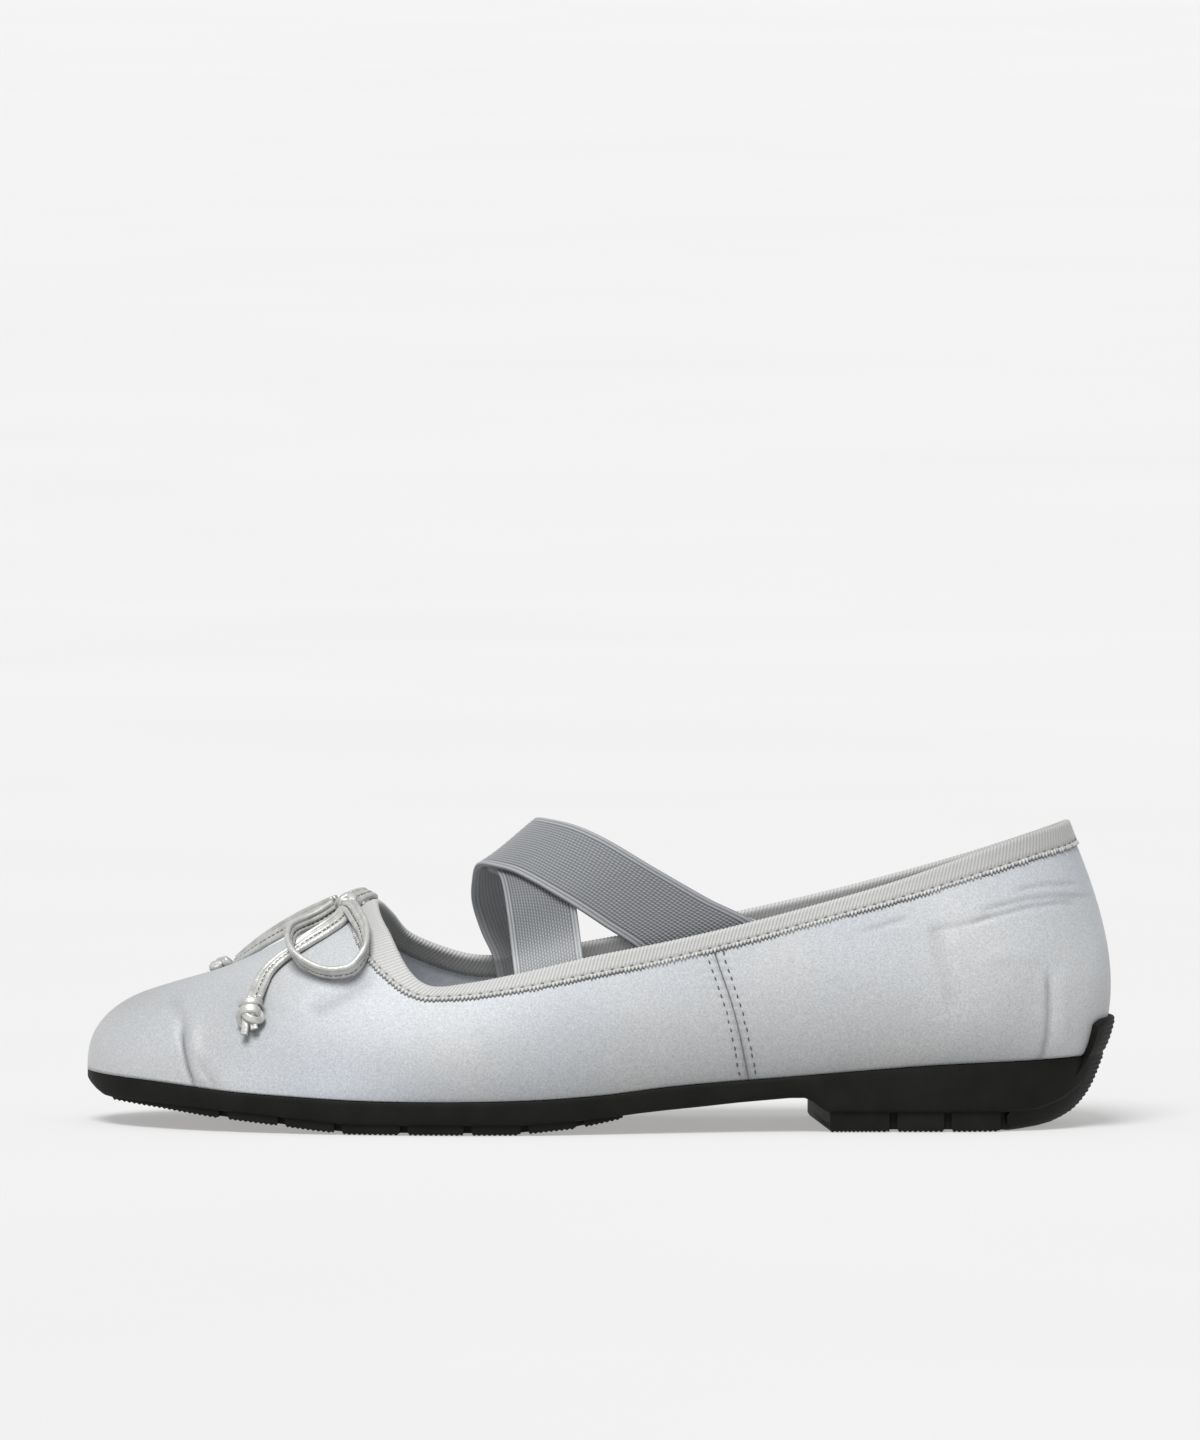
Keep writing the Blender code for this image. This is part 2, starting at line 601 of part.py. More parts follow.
def binding(parts, points):
    """Grosgrain tape folded over the upper's edge."""
    top = below_edge(points, 0.0)
    low = below_edge(points, TAPE_OUTER)
    inner_low = below_edge(points, TAPE_INNER)
    up = unit(top - below_edge(points, 1.5))
    run = unit(np.roll(top, -1, axis=0) - np.roll(top, 1, axis=0))
    out = unit(np.cross(run, up))
    run_low = unit(np.roll(low, -1, axis=0) - np.roll(low, 1, axis=0))
    out_low = unit(np.cross(run_low, unit(below_edge(points, TAPE_OUTER - 1) - low)))
    near = GAP
    far = GAP + TAPE
    section = [
        low + out_low * far,
        top + out * far,
        top + out * (0.45 * far) + up * far,
        top - out * (WALL + 0.45 * far) + up * far,
        top - out * (WALL + far),
        inner_low - out_low * (WALL + far),
        inner_low - out_low * (WALL + near),
        top - out * (WALL + near) + up * near,
        top + out * near + up * near,
        low + out_low * near,
    ]
    rings = np.stack(section, axis=1)
    return loft("topline_binding", rings, parts, (0.62, 0.61, 0.59), 0.7, closed=True)


def strap_place(x, angle):
    """Place of a strap over the instep at x and an angle from the ridge."""
    lateral = TOP[:TOP_BACK + 1]
    medial = TOP[TOP_BACK:][::-1]
    first = int(np.argmax(lateral[:, 0] > 84.0))
    second = int(np.argmax(medial[:, 0] > 84.0))
    on_lateral = angle < 0
    side = np.where(on_lateral, -1.0, 1.0)
    edge_z = np.where(on_lateral, np.interp(x, lateral[first:, 0], lateral[first:, 2]),
                      np.interp(x, medial[second:, 0], medial[second:, 2]))
    over = np.minimum(np.abs(angle), 90.0)
    drop = np.maximum(np.abs(angle) - 90.0, 0.0) * STRAP_DROP
    z = edge_z - drop + (last("feather", x) + last("rise", x) - edge_z) * np.cos(np.radians(over))
    wall = wall_y(x, edge_z - drop, side) - side * STRAP_FROM_WALL
    ridge_y = last("centre", x) + last("ridge", x)
    y = ridge_y + (wall - ridge_y) * np.sin(np.radians(over))
    return np.stack([x, y, z], axis=-1)


def strap(name, rows, lift, parts):
    """Elastic band over the instep, lifted clear of the other where the two cross."""
    strip = table(STRAP_COLUMNS, rows)
    order = np.argsort(strip["angle"])
    angles = strip["angle"][order]
    angle = np.unique(np.concatenate([np.linspace(-90.0, 90.0, 25), [-104.0, -97.0, 97.0, 104.0]]))
    front = smooth(angle, angles, strip["front"][order])
    rear = smooth(angle, angles, strip["rear"][order])
    across = np.linspace(0.0, 1.0, 5)
    x = front[:, None] + (rear - front)[:, None] * across[None, :]
    turned = np.repeat(angle[:, None], len(across), axis=1)
    points = strap_place(x, turned)
    normal = unit(np.cross(np.gradient(points, axis=1), np.gradient(points, axis=0)))
    fade = np.clip((90.0 - np.abs(turned)) / 25.0, 0.0, 1.0)[:, :, None]
    outward = np.sign(np.sum(normal[len(angle) // 2, 2] * np.array([0.0, 0.0, 1.0])))
    points = points + normal * outward * fade * lift
    faces = []
    for i in range(len(angle) - 1):
        for j in range(len(across) - 1):
            a, b = i * len(across) + j, (i + 1) * len(across) + j
            faces.append((a, a + 1, b + 1, b))
    item = mesh_object(name, points.reshape(-1, 3), faces, parts, (0.33, 0.33, 0.34), 0.8, sheet=True)
    band = item.modifiers.new("band", "SOLIDIFY")
    band.thickness = STRAP_THICK * MM
    band.offset = 0.0
    band.use_even_offset = True
    return item


def vamp_normal(x, y):
    """Outward direction of the last's skin over a plan point."""
    step = 0.25
    slope_x = (last_height(x + step, y) - last_height(x - step, y)) / (2 * step)
    slope_y = (last_height(x, y + step) - last_height(x, y - step)) / (2 * step)
    return unit(np.stack([-slope_x, -slope_y, np.ones_like(slope_x)], axis=-1))


def on_vamp(x, y, lift):
    """Place at a height off the vamp."""
    base = np.stack([x, y, last_height(x, y)], axis=-1)
    return base + vamp_normal(x, y) * np.asarray(lift)[..., None]


def lace(name, rows, steps, parts):
    """Flat leather lace laid along a path on the vamp."""
    path = table(LACE_COLUMNS, rows)
    plan = np.column_stack([path["x"], path["y"]])
    shares = shares_of(plan)
    share = np.linspace(0.0, 1.0, steps)
    x = smooth(share, shares, path["x"])
    y = smooth(share, shares, path["y"])
    centre = on_vamp(x, y, smooth(share, shares, path["lift"]))
    run = unit(np.gradient(centre, axis=0))
    rise = vamp_normal(x, y)
    flat = unit(np.cross(run, rise))
    rise = unit(np.cross(flat, run))
    stand = smooth(share, shares, path["stand"])[:, None] * math.pi / 2
    wide = flat * np.cos(stand) + rise * np.sin(stand)
    thin = unit(np.cross(run, wide))
    half, deep = LACE_WIDTH / 2, LACE_THICK / 2
    corners = [(1, 0.45), (0.82, 1), (-0.82, 1), (-1, 0.45)]
    corners += [(-a, -b) for a, b in corners]
    rings = np.stack([centre + wide * half * a + thin * deep * b for a, b in corners], axis=1)
    return loft(name, rings, parts, (0.70, 0.70, 0.68), 0.45)


def knot(name, row, ahead, parts):
    """Rounded knot lying on the vamp, long towards a plan direction."""
    x, y, lift, long, across, deep = row
    centre = on_vamp(np.array([x]), np.array([y]), np.array([lift]))[0]
    rise = vamp_normal(np.array([x]), np.array([y]))[0]
    wide = unit(np.cross(rise, np.array([ahead[0], ahead[1], 0.0])))
    run = unit(np.cross(wide, rise))
    turn = np.linspace(0.09, math.pi - 0.09, 9)
    circle = np.linspace(0.0, 2 * math.pi, 12, endpoint=False)
    rings = []
    for t in turn:
        size = math.sin(t) ** 0.75
        rings.append([centre + run * long * math.cos(t) + wide * across * size * math.cos(c)
                      + rise * deep * size * math.sin(c) for c in circle])
    return loft(name, np.array(rings), parts, (0.70, 0.70, 0.68), 0.45)


def clear_scene():
    """Remove whatever the file starts with."""
    for item in list(bpy.data.objects):
        bpy.data.objects.remove(item, do_unlink=True)


def new_collection(name):
    """Collection linked to the scene."""
    collection = bpy.data.collections.new(name)
    bpy.context.scene.collection.children.link(collection)
    return collection


def main():
    clear_scene()
    parts = new_collection("ballet_flat")
    cutters = new_collection("outsole_blocks")
    outsole(parts, cutters)
    insole(parts)
    points = upper(parts)
    binding(parts, points)
    strap("strap_over", STRAP_OVER, STRAP_LIFT, parts)
    strap("strap_under", STRAP_UNDER, -STRAP_LIFT, parts)
    knot("bow_knot", BOW_KNOT, (1.0, 0.15), parts)
    lace("bow_loop_lateral", LOOP_LATERAL, 30, parts)
    lace("bow_loop_medial", LOOP_MEDIAL, 30, parts)
    lace("bow_tail_lateral", TAIL_LATERAL, 16, parts)
    lace("bow_tail_medial", TAIL_MEDIAL, 16, parts)
    knot("tail_knot_lateral", END_LATERAL, (-0.3, -1.0), parts)
    knot("tail_knot_medial", END_MEDIAL, (-1.0, 0.45), parts)
    for block in cutters.objects:
        block.hide_render = True
        block.display_type = "WIRE"


main()
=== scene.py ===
"""Looks of the left ballet flat: satin, ribbed binding, woven elastics, lace bow and black rubber.

Lengths are millimetres until a mesh is made. x runs from the toe tip to the heel,
y from the lateral side to the medial side, and z up from the floor.
"""

import json
import math

import bpy
import numpy as np
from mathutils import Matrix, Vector

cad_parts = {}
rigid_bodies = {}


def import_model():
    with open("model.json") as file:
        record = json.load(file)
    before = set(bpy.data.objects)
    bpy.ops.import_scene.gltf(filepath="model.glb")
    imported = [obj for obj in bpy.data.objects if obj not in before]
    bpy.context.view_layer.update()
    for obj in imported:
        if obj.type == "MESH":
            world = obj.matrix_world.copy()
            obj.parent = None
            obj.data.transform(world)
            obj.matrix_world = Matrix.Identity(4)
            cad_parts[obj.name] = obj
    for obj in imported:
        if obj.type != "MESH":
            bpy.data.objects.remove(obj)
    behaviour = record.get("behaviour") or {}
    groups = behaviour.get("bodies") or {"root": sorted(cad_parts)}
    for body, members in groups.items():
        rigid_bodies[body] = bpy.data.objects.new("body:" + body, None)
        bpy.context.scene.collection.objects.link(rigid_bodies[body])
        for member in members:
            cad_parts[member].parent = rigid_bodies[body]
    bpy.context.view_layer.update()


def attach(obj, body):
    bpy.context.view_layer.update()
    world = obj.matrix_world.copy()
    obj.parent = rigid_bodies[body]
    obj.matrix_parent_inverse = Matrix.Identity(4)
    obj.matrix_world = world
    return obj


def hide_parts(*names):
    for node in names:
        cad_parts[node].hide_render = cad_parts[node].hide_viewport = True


MM = 0.001
LENGTH = 247.9
PLAN_MIDDLE = -0.85

# Sizes shared with the solids.
GAP = 0.3
WALL = 1.7
TOE_ROUND = 42.0
NOSE_ROUND = 17.6
NOSE_POWER = 2.8
HEEL_X = 205.0
HEEL_BACK = 243.3
HEEL_POWER = 2.2
HEEL_TOP = 72.7
THROAT_X = 69.4
SOLE_LEDGE = 0.3
SOLE_EDGE_ROUND = 1.2
LUG_INSET = 0.7
LUG_BURIED = 1.0
HEEL_STEP = 4.7
INSOLE_THICK = 2.4
TAB_HALF_SHARE = 0.049
TAB_HEIGHT = 8.8
TAB_THICK = 1.3
STRAP_THICK = 1.2
STRAP_LIFT = 0.85
STRAP_FROM_WALL = 3.85
STRAP_DROP = 0.5
STRAP_LEVEL = 90.0
STRAP_EASE = 25.0
STRAP_END = 104.0
STRAP_SIDE_X = 84.0

# Satin, its lining and its side seam.
SKIN_COLUMNS = 840
SKIN_ROWS = 96
LINING_ROWS = 12
FOOT_FADE_ROWS = 4.0
WALL_AT_EDGE = 1.0
EDGE_TAPER = 9.0
WAVE_HEIGHT = 0.05
CREASE_FADE = 0.22
# Painted shade in the satin's creases and seam: share of their depth, less for folds wider than BROAD_FOLD.
FOLD_PAINTED_SHADE = 0.9
BROAD_FOLD = 1.0
BROAD_FOLD_PAINTED_SHADE = 0.22
# Plain tone of the satin under its painted light and shade, and the rise over which the painted shade near
# the feather edge fades.
PLAIN_TONE = 0.86
SHADE_RISE = 30.0
SWELL_POWERS = (0.8, 1.4)
SWELL_PEAK = 0.2364
TOE_TIP = 0.02
SEAM_STITCH = 2.1
SEAM_UPRIGHT = 0.97
SEAM_OFFSET = 1.8
SEAM_LEAN = 0.93
SEAM_REACH = (140.0, 170.0)
SEAM_STITCHED = (14.6, 43.2)
SEAM_CLOSED = (12.8, 46.0)
SEAM_THREAD_SUNK = 0.18
SEAM_STITCH_SUNK = 0.12
SEAM_FACING_DEGREE = 3
SEAM_PATH_DEGREE = 5
SEARCH_END = 0.02
PUCKER_HEIGHT = 0.05
PUCKER_REACH = 3.2

# Grosgrain binding.
RIB_PITCH = 0.92
RIB_HEIGHT = 0.075
RIB_SLANT = 0.4
RIB_COLUMNS = 6
# Tone of the ribbed face, and the painted shade between its ribs.
RIB_TONE = 0.72
RIB_PAINTED_SHADE = 0.2
TAPE_LIFT = 0.5
TAPE_INNER = 4.6
TAPE_STITCH = 2.4
TAPE_STITCH_SUNK = 0.12
SELVEDGE = 1.1
PICOT_DEPTH = 0.55
FACE_FROM_SELVEDGE = 0.25
FACE_SHARES = (0.96, 0.78, 0.6, 0.42, 0.24, 0.1)
FOLD_RISE = 0.4
FOLD_RUN = 2.4
FOLD_TURNS = (12, 38, 64, 90, 116, 142, 168)
INNER_DEPTHS = (0.5, 1.4, 2.4, 3.3)
# Painted shade of the binding's inner face.
INNER_PAINTED_SHADE = 0.78
PICOT_SEED = 7
PICOT_SIZES = (0.45, 1.15)
TAPE_REACH = 0.45
EDGE_RUN = 1.5
FACING_ABOVE = 1.0
FACING_BELOW = 0.2

# Elastics.
STRAP_WIDTH = 20.0
STRAP_EDGE = 2.1
STRAP_TRIM = 0.12
STRAP_THIN = 0.4
STRAP_BORDER = (0.0, 0.12, 0.4, 0.75, 1.05, 1.25, 1.45, 1.7, 1.95)
STRAP_TONE = 0.36
WEAVE_LONG = 0.86
WEAVE_WIDE = 0.8
WEAVE_HEIGHT = 0.26
WEAVE_UNDER = 0.6
WEAVE_FLOOR = 0.25
WEAVE_STEPS = 3
WEAVE_COLUMNS = 4
CORD_HEIGHT = 0.28
CORD_UNDER = 0.2
# Tone of the cords with painted shade in the grooves beside them, and painted light by angle over the weave.
CORD_TONE = 1.7
CORD_DARK = 0.1
LIT_RELIEF = 0.7
LIT_TONE = 0.4
UNDER_TONE = 0.3
STRAP_MIDDLE = (0.45, 0.5, 0.55)

# Laces and knots.
LACE_STEP = 0.3
LACE_STITCH = 1.3
LACE_GROOVE = -0.57
LACE_GROOVE_DEEP = 0.5
LACE_BARE_STEPS = 3
LACE_BARE = 2.0
STRAND_POWER = 0.75
STRAND_DENT = 0.22
STRAND_DENT_AT = 0.1
STRAND_DENT_WIDE = 0.18
TIE_SPAN = (2.6, 2.8)
TIE_LEAN = 0.8
TIE_LIFT = 0.9
END_TIE_LONG = 0.56
END_TIE_INSET = 0.7
END_TIE_WEAVE = 0.75
END_TIE_BACK = 0.1
END_TIE_DOME = 1.2
END_CUT_START = 0.1
BOW_WRAP_INSETS = (0.9, 0.8)
BOW_WRAP_LEAN = 0.6
BOW_TIE_INSETS = (0.5, 0.2)
BOW_TIE_WEAVE = 0.85
BOW_TIE_DOME = 1.0
BOW_THROUGH_AT = 0.85
BOW_THROUGH_REACH = 3.2
BOW_THROUGH_DROP = 0.7

# Strands of the seam and knots: width, thickness.
SEAM_THREAD = (0.3, 0.3)
END_TIE = (1.8, 1.35)
END_CUT = (1.9, 1.1)
BOW_WRAP = (3.0, 1.6)
BOW_TIE = (2.1, 1.5)
BOW_THROUGH = (1.8, 2.2)

# Sole and sock.
SERRATION_PITCH = 1.24
SERRATION_STEP = SERRATION_PITCH / 4
SERRATION_DEPTH = 0.36
LUG_EDGE_ROUND = 0.4
LUG_END_EASE = 0.5
LUG_END_RUN = 0.7
WEB_INSET = 1.3
WEB_RISE = 0.6
WEB_OVERLAP = 0.6
WEB_EDGE_ROUND = 0.2
BODY_BELLY = 0.25
BODY_RISE = 0.15
BELLY_FROM_WIDTH = 20.0
ROUND_OF_THICK = 0.4
ROUND_OF_WIDTH = 0.3
BODY_FRONT = 0.1
BODY_TOE = 30.0
BREAST_SPAN = (166.0, 180.0)
BREAST_BLEND = 1.6
BREAST_FROM = 0.5
BODY_HEEL = 222.0
BODY_HEEL_RUN = 21.4
BODY_STEP = 1.5
BAND_RIBBED = 3.0
BAND_FADE = 1.8
BAND_DEEP = 4.0
BAND_START = 1.5
TAB_START = 0.3
TAB_REACH = 0.5
TAB_CORNER = 0.14
TAB_CORNER_POWER = 8
TAB_RIBBED = 0.86
TAB_RIB_FADE = 0.3
TAB_TOP_THICK = 0.3
TAB_CAP = 0.12
TAB_FULLER = 0.3
SPLIT_ANGLE = 38.0
SOCK_EDGE = 2.6
SOCK_DISH = 0.35
SOCK_INTO_LINING = 0.15
SOCK_END = 0.015
SOCK_REACH = 0.3
SOCK_TURN_POWER = 12
SOCK_UNDER = 0.1

# Numbers of points and steps of the curves and meshes.
ROUND_POINTS = 240
SIDE_POINTS = 400
TOP_STEPS = 64
EDGE_POINTS = 6001
SEARCH_COLUMNS = 900
SEARCH_ROWS = 90
SEAM_POINTS = 70
TAPE_ROWS = 70
ROUGH_STRAP_POINTS = 400
ROUGH_LACE_POINTS = 200
STITCH_SIDES = 8
STRAND_SIDES = 20
COLLAR_POINTS = 90
WRAP_POINTS = 96
TIE_POINTS = 180
END_POINTS = 24
CORNER_POINTS = 5
BODY_POINTS = 40
WEB_POINTS = 5
BAND_COLUMNS = 41
TAB_ROWS = 160
SOCK_POINTS = 170
SOCK_COLUMNS = 41
SOCK_ROWS = 24
BEND_POINTS = 24

# Stitches: length, width and height, then place along and size of each of their rings.
SEAM_STITCH_SIZE = (1.05, 0.42, 0.4)
TAPE_STITCH_SIZE = (0.8, 0.5, 0.4)
LACE_STITCH_SIZE = (0.9, 0.5, 0.3)
STITCH_RINGS = [(-0.5, 0.35), (-0.36, 0.85), (0.0, 1.0), (0.36, 0.85), (0.5, 0.35)]

# Light of the studio, and the photograph's camera: a level telephoto from the lateral side.
SURROUND_COLOUR = (0.985, 0.99, 1.0, 1.0)
SURROUND_STRENGTH = 0.45
KEY_STRENGTH = 3.7
KEY_ANGLE = 28.0
KEY_DIRECTION = (0.16, 0.5, -0.85)
CAMERA_PLACE = (0.0, -3.0, 0.245)
CAMERA_AIM = (0.0, 0.0, 0.0974)
CAMERA_SENSOR = 36.0
CAMERA_PIXEL = 0.24078e-3
CAMERA_CLIP = (0.1, 50.0)
IMAGE_HEIGHT = 1440


def table(columns, rows):
    """Rows of a table as one array for each named column."""
    return dict(zip(columns.split(), np.array(rows, dtype=float).T))


# The last, a row for each section. The ridge is set off from the centre line.
LAST = table("x centre half_width feather rise ridge fullness swell", [
    (0.0, 9.00, 28.5, 12.6, 14.6, 0.0, 2.20, 0.0),
    (20.0, 5.25, 30.2, 11.4, 22.0, 1.0, 2.20, 0.3),
    (35.0, 3.50, 32.2, 9.9, 28.2, 2.0, 2.10, 0.6),
    (50.0, 2.15, 35.2, 9.0, 36.2, 3.0, 2.00, 0.9),
    (65.0, 0.85, 37.2, 8.3, 43.1, 3.8, 1.90, 1.1),
    (80.0, -0.80, 37.8, 8.1, 49.5, 4.0, 1.80, 1.3),
    (95.0, -2.50, 36.8, 8.2, 53.2, 4.0, 1.80, 1.5),
    (110.0, -4.00, 34.3, 8.6, 64.6, 3.5, 1.80, 1.7),
    (125.0, -4.75, 31.2, 9.6, 76.0, 2.6, 1.85, 1.9),
    (140.0, -4.70, 28.3, 11.3, 84.0, 1.8, 1.90, 2.1),
    (155.0, -4.10, 26.5, 12.5, 88.0, 1.0, 1.95, 2.3),
    (170.0, -3.10, 25.9, 13.5, 90.0, 0.5, 2.00, 2.6),
    (185.0, -2.20, 26.2, 14.7, 90.0, 0.2, 2.10, 3.0),
    (205.0, -1.45, 26.8, 16.2, 90.0, 0.0, 2.20, 3.7),
    (225.0, -1.45, 26.8, 17.0, 90.0, 0.0, 2.20, 4.2),
    (244.0, -1.45, 26.8, 17.5, 90.0, 0.0, 2.20, 4.2),
])

# The front of the opening: offset from the ridge, x on each side.
THROAT = table("offset lateral medial", [(7.0, 69.6, 70.6), (14.0, 70.5, 73.2), (20.0, 72.2, 77.4)])

# The rest of the opening: height of the upper's edge on each side.
TOPLINE = table("x lateral medial", [
    (84.0, 34.6, 41.0), (93.0, 35.5, 38.4), (104.0, 37.6, 38.6), (122.0, 41.7, 41.9), (140.0, 45.1, 45.4),
    (160.0, 49.6, 49.8), (176.0, 53.8, 53.4), (192.0, 58.4, 57.4), (217.0, 67.1, 64.6), (228.0, 70.6, 68.5),
    (234.0, 72.0, 71.0),
])

# Where a column of the upper starts at the feather edge and ends at the topline.
MATCH = table("feather_x topline_x", [(58.0, 77.0), (100.0, 101.0), (160.0, 159.0), (205.0, 203.0)])

# Underside of the outsole between the lugs, the lugs' own underside, and the breast's slant.
BODY = table("x bottom", [
    (0.1, 10.8), (1.0, 9.7), (2.4, 8.5), (4.5, 7.2), (7.0, 6.8), (12.0, 6.6), (19.0, 6.2), (26.0, 5.7),
    (32.0, 5.2), (39.0, 4.7), (46.0, 4.1), (56.0, 3.1), (64.0, 2.4), (104.0, 2.4), (111.0, 2.8), (118.0, 3.3),
    (126.0, 4.1), (133.0, 5.0), (140.0, 5.7), (148.0, 6.4), (155.0, 7.1), (162.0, 7.8), (167.0, 8.3),
    (170.4, 8.3), (172.3, 7.4), (174.2, 5.8), (176.2, HEEL_STEP), (222.0, HEEL_STEP), (229.0, 5.2),
    (235.0, 7.5), (239.0, 10.2), (241.5, 12.8), (242.9, 14.8), (243.4, 15.8),
])
TREAD = table("x bottom", [
    (6.5, 6.2), (9.0, 6.0), (19.0, 5.0), (32.0, 3.3), (46.0, 1.9), (56.0, 0.75), (64.0, 0.0), (104.0, 0.0),
    (118.7, 1.5), (126.0, 3.0), (130.0, 3.9),
])
BREAST = table("x slant", [(157.0, 0.0), (168.0, -0.09), (178.0, -0.09), (190.0, 0.0)])

# Front and back of each lug under the forefoot and under the heel, and of the rear lug's first part.
LUGS = [
    (6.5, 33.1), (34.9, 47.1), (48.7, 60.7), (62.3, 76.3), (78.1, 91.5), (93.3, 105.1), (106.8, 118.4),
    (120.1, 129.5),
]
HEEL_LUGS = [(176.4, 193.4), (195.0, 206.4), (208.0, 219.8)]
REAR_LUG = (221.4, 223.0)

# Rear lug rolling up the back of the heel: a row for each level.
REAR = table("z front back half_width", [
    (0.0, 221.4, 227.8, 25.8), (0.5, 221.4, 230.8, 26.4), (1.2, 221.4, 233.3, 26.7),
    (2.3, 221.4, 235.6, 26.9), (3.8, 221.4, 238.0, 27.0), (5.6, 222.4, 239.8, 27.1),
    (8.0, 230.5, 241.6, 27.2), (10.4, 235.3, 242.9, 27.2), (12.8, 238.2, 243.9, 27.2),
    (15.2, 240.2, 244.8, 27.2), (17.1, 241.2, 245.5, 27.2),
])

# Share of the way down a slab's side, and how far its lip stands out there.
SLAB_SIDE = [(0.0, 0.0), (0.12, 0.12), (0.3, 0.0), (0.55, 0.0), (0.8, 0.0)]

# Crossed elastics: angle over the instep from the ridge, x of front and rear edges.
STRAP_OVER = table("angle front rear", [
    (-104.0, 142.0, 169.5), (-90.0, 133.0, 161.5), (-80.0, 124.4, 149.4), (-67.0, 115.8, 136.4),
    (-52.0, 108.4, 126.0), (-38.0, 103.4, 119.0), (-24.0, 99.3, 113.9), (0.0, 95.2, 109.6),
    (30.0, 93.2, 110.5), (55.0, 93.0, 113.2), (75.0, 95.2, 115.6), (90.0, 98.0, 117.5), (104.0, 99.4, 118.3),
])
STRAP_UNDER = table("angle front rear", [
    (-104.0, 104.4, 121.2), (-90.0, 103.5, 120.0), (-60.0, 101.6, 117.2), (-30.0, 99.6, 113.0),
    (0.0, 96.4, 109.6), (24.0, 97.4, 112.0), (38.0, 100.2, 116.2), (52.0, 105.6, 122.4),
    (67.0, 113.4, 131.6), (80.0, 122.6, 144.4), (90.0, 132.6, 158.0), (104.0, 142.0, 168.0),
])

# Painted light on each elastic against the same angle, on top of its plain tone; below nought, painted shade.
LIT_OVER = table("angle share", [
    (-104.0, 0.0), (-60.0, 0.0), (-25.0, 0.08), (5.0, 0.14), (40.0, 0.1), (104.0, 0.0),
])
LIT_UNDER = table("angle share", [
    (-104.0, 0.95), (-90.0, 0.8), (-84.0, 0.5), (-78.0, 0.16), (-70.0, -0.06), (-55.0, -0.1), (104.0, -0.1),
])

# Cords along an elastic's edges: height, place from the edge, half width.
STRAP_CORDS = [(0.7, 0.6, 0.42), (0.8, 1.55, 0.24)]

# Bow lace on the vamp: plan place, lift off the vamp, and 1 standing on edge to 0 lying flat.
LOOP_LATERAL = table("x y lift stand", [
    (61.2, -1.9, 3.4, 1.0), (58.0, -4.0, 3.2, 1.0), (55.0, -5.4, 3.4, 1.0), (52.4, -7.4, 4.1, 1.0),
    (51.0, -12.6, 4.6, 1.0), (52.0, -17.6, 4.2, 1.0), (55.9, -21.6, 2.9, 1.0), (61.3, -24.2, 2.5, 1.0),
    (65.9, -24.4, 2.5, 1.0), (68.3, -22.3, 2.6, 0.9), (68.2, -17.0, 2.6, 0.5), (66.4, -10.3, 2.6, 0.25),
    (64.8, -4.2, 2.8, 0.2), (63.8, -1.4, 2.8, 0.2),
])
LOOP_MEDIAL = table("x y lift stand", [
    (61.8, 5.8, 3.0, 1.0), (57.0, 10.6, 2.7, 1.0), (52.6, 16.6, 2.5, 1.0), (50.8, 22.4, 2.7, 1.0),
    (52.8, 27.4, 3.1, 1.0), (57.5, 30.0, 3.4, 1.0), (63.0, 29.6, 3.4, 1.0), (66.8, 26.0, 3.1, 1.0),
    (68.4, 19.5, 2.8, 0.9), (69.2, 13.0, 2.4, 0.7), (69.0, 8.0, 2.6, 0.55), (65.8, 3.6, 2.9, 0.6),
])
TAIL_LATERAL = table("x y lift stand", [
    (63.6, -2.6, 1.9, 0.35), (61.8, -5.9, 1.6, 0.35), (58.6, -8.2, 1.5, 0.35), (54.3, -10.2, 1.4, 0.25),
    (50.7, -11.9, 1.2, 0.05), (47.8, -13.2, 1.2, 0.0), (44.3, -16.1, 1.2, 0.0), (42.8, -19.5, 1.4, 0.0),
    (42.0, -22.4, 2.4, 0.0),
])
TAIL_MEDIAL = table("x y lift stand", [
    (61.0, 2.6, 3.3, 0.75), (57.0, 5.2, 3.0, 0.75), (53.0, 8.2, 2.8, 0.75), (47.6, 11.6, 2.6, 0.7),
    (42.6, 14.6, 2.5, 0.6), (36.4, 19.2, 2.3, 0.5),
])

# Half of the lace's section from its beaded edge to its plain edge: place across, half thickness.
LACE_SECTION = [
    (2.1, 0.0), (2.02, 0.36), (1.8, 0.62), (1.45, 0.72), (1.12, 0.62), (0.9, 0.42), (0.74, 0.4),
    (0.56, 0.6), (0.2, 0.7), (-0.34, 0.68), (-0.48, 0.46), (-0.66, 0.46), (-0.8, 0.68), (-1.3, 0.7),
    (-1.8, 0.62), (-2.04, 0.34), (-2.1, 0.0),
]

# Knots on the vamp: plan place, lift, the plan direction each is long towards, and half sizes.
BOW_KNOT = {"x": 64.2, "y": 0.8, "lift": 2.8, "ahead": (1.0, 0.15), "half": (2.9, 3.5, 2.3)}
END_LATERAL = {"x": 41.2, "y": -25.0, "lift": 3.2, "ahead": (-0.3, -1.0), "half": (4.9, 3.4, 2.8)}
END_MEDIAL = {"x": 32.6, "y": 20.6, "lift": 2.9, "ahead": (-1.0, 0.45), "half": (3.6, 3.0, 2.2)}

# Turns round the lace in an end knot: place along, lean, inset, width and thickness.
COLLARS = [(-0.6, 0.5, 1.0, (1.9, 1.3)), (-0.05, -0.4, 1.3, (2.6, 1.3))]

# Cut ends below an end knot: place across, splay, reach.
CUT_ENDS = [(-0.9, -0.5, 0.95), (0.85, 0.35, 0.72)]

# Side seam in the side view, and in section: height, place on either side, half width, share in its painted
# shade.
SEAM = table("z x", [(12.5, 159.5), (23.0, 157.5), (33.0, 154.9), (42.5, 151.6), (47.0, 150.9)])
SEAM_SECTION = [(-0.3, 0.0, 0.6, 1.0), (-0.16, SEAM_OFFSET, 0.5, 0.5), (0.14, 0.95, 0.55, 0.0)]
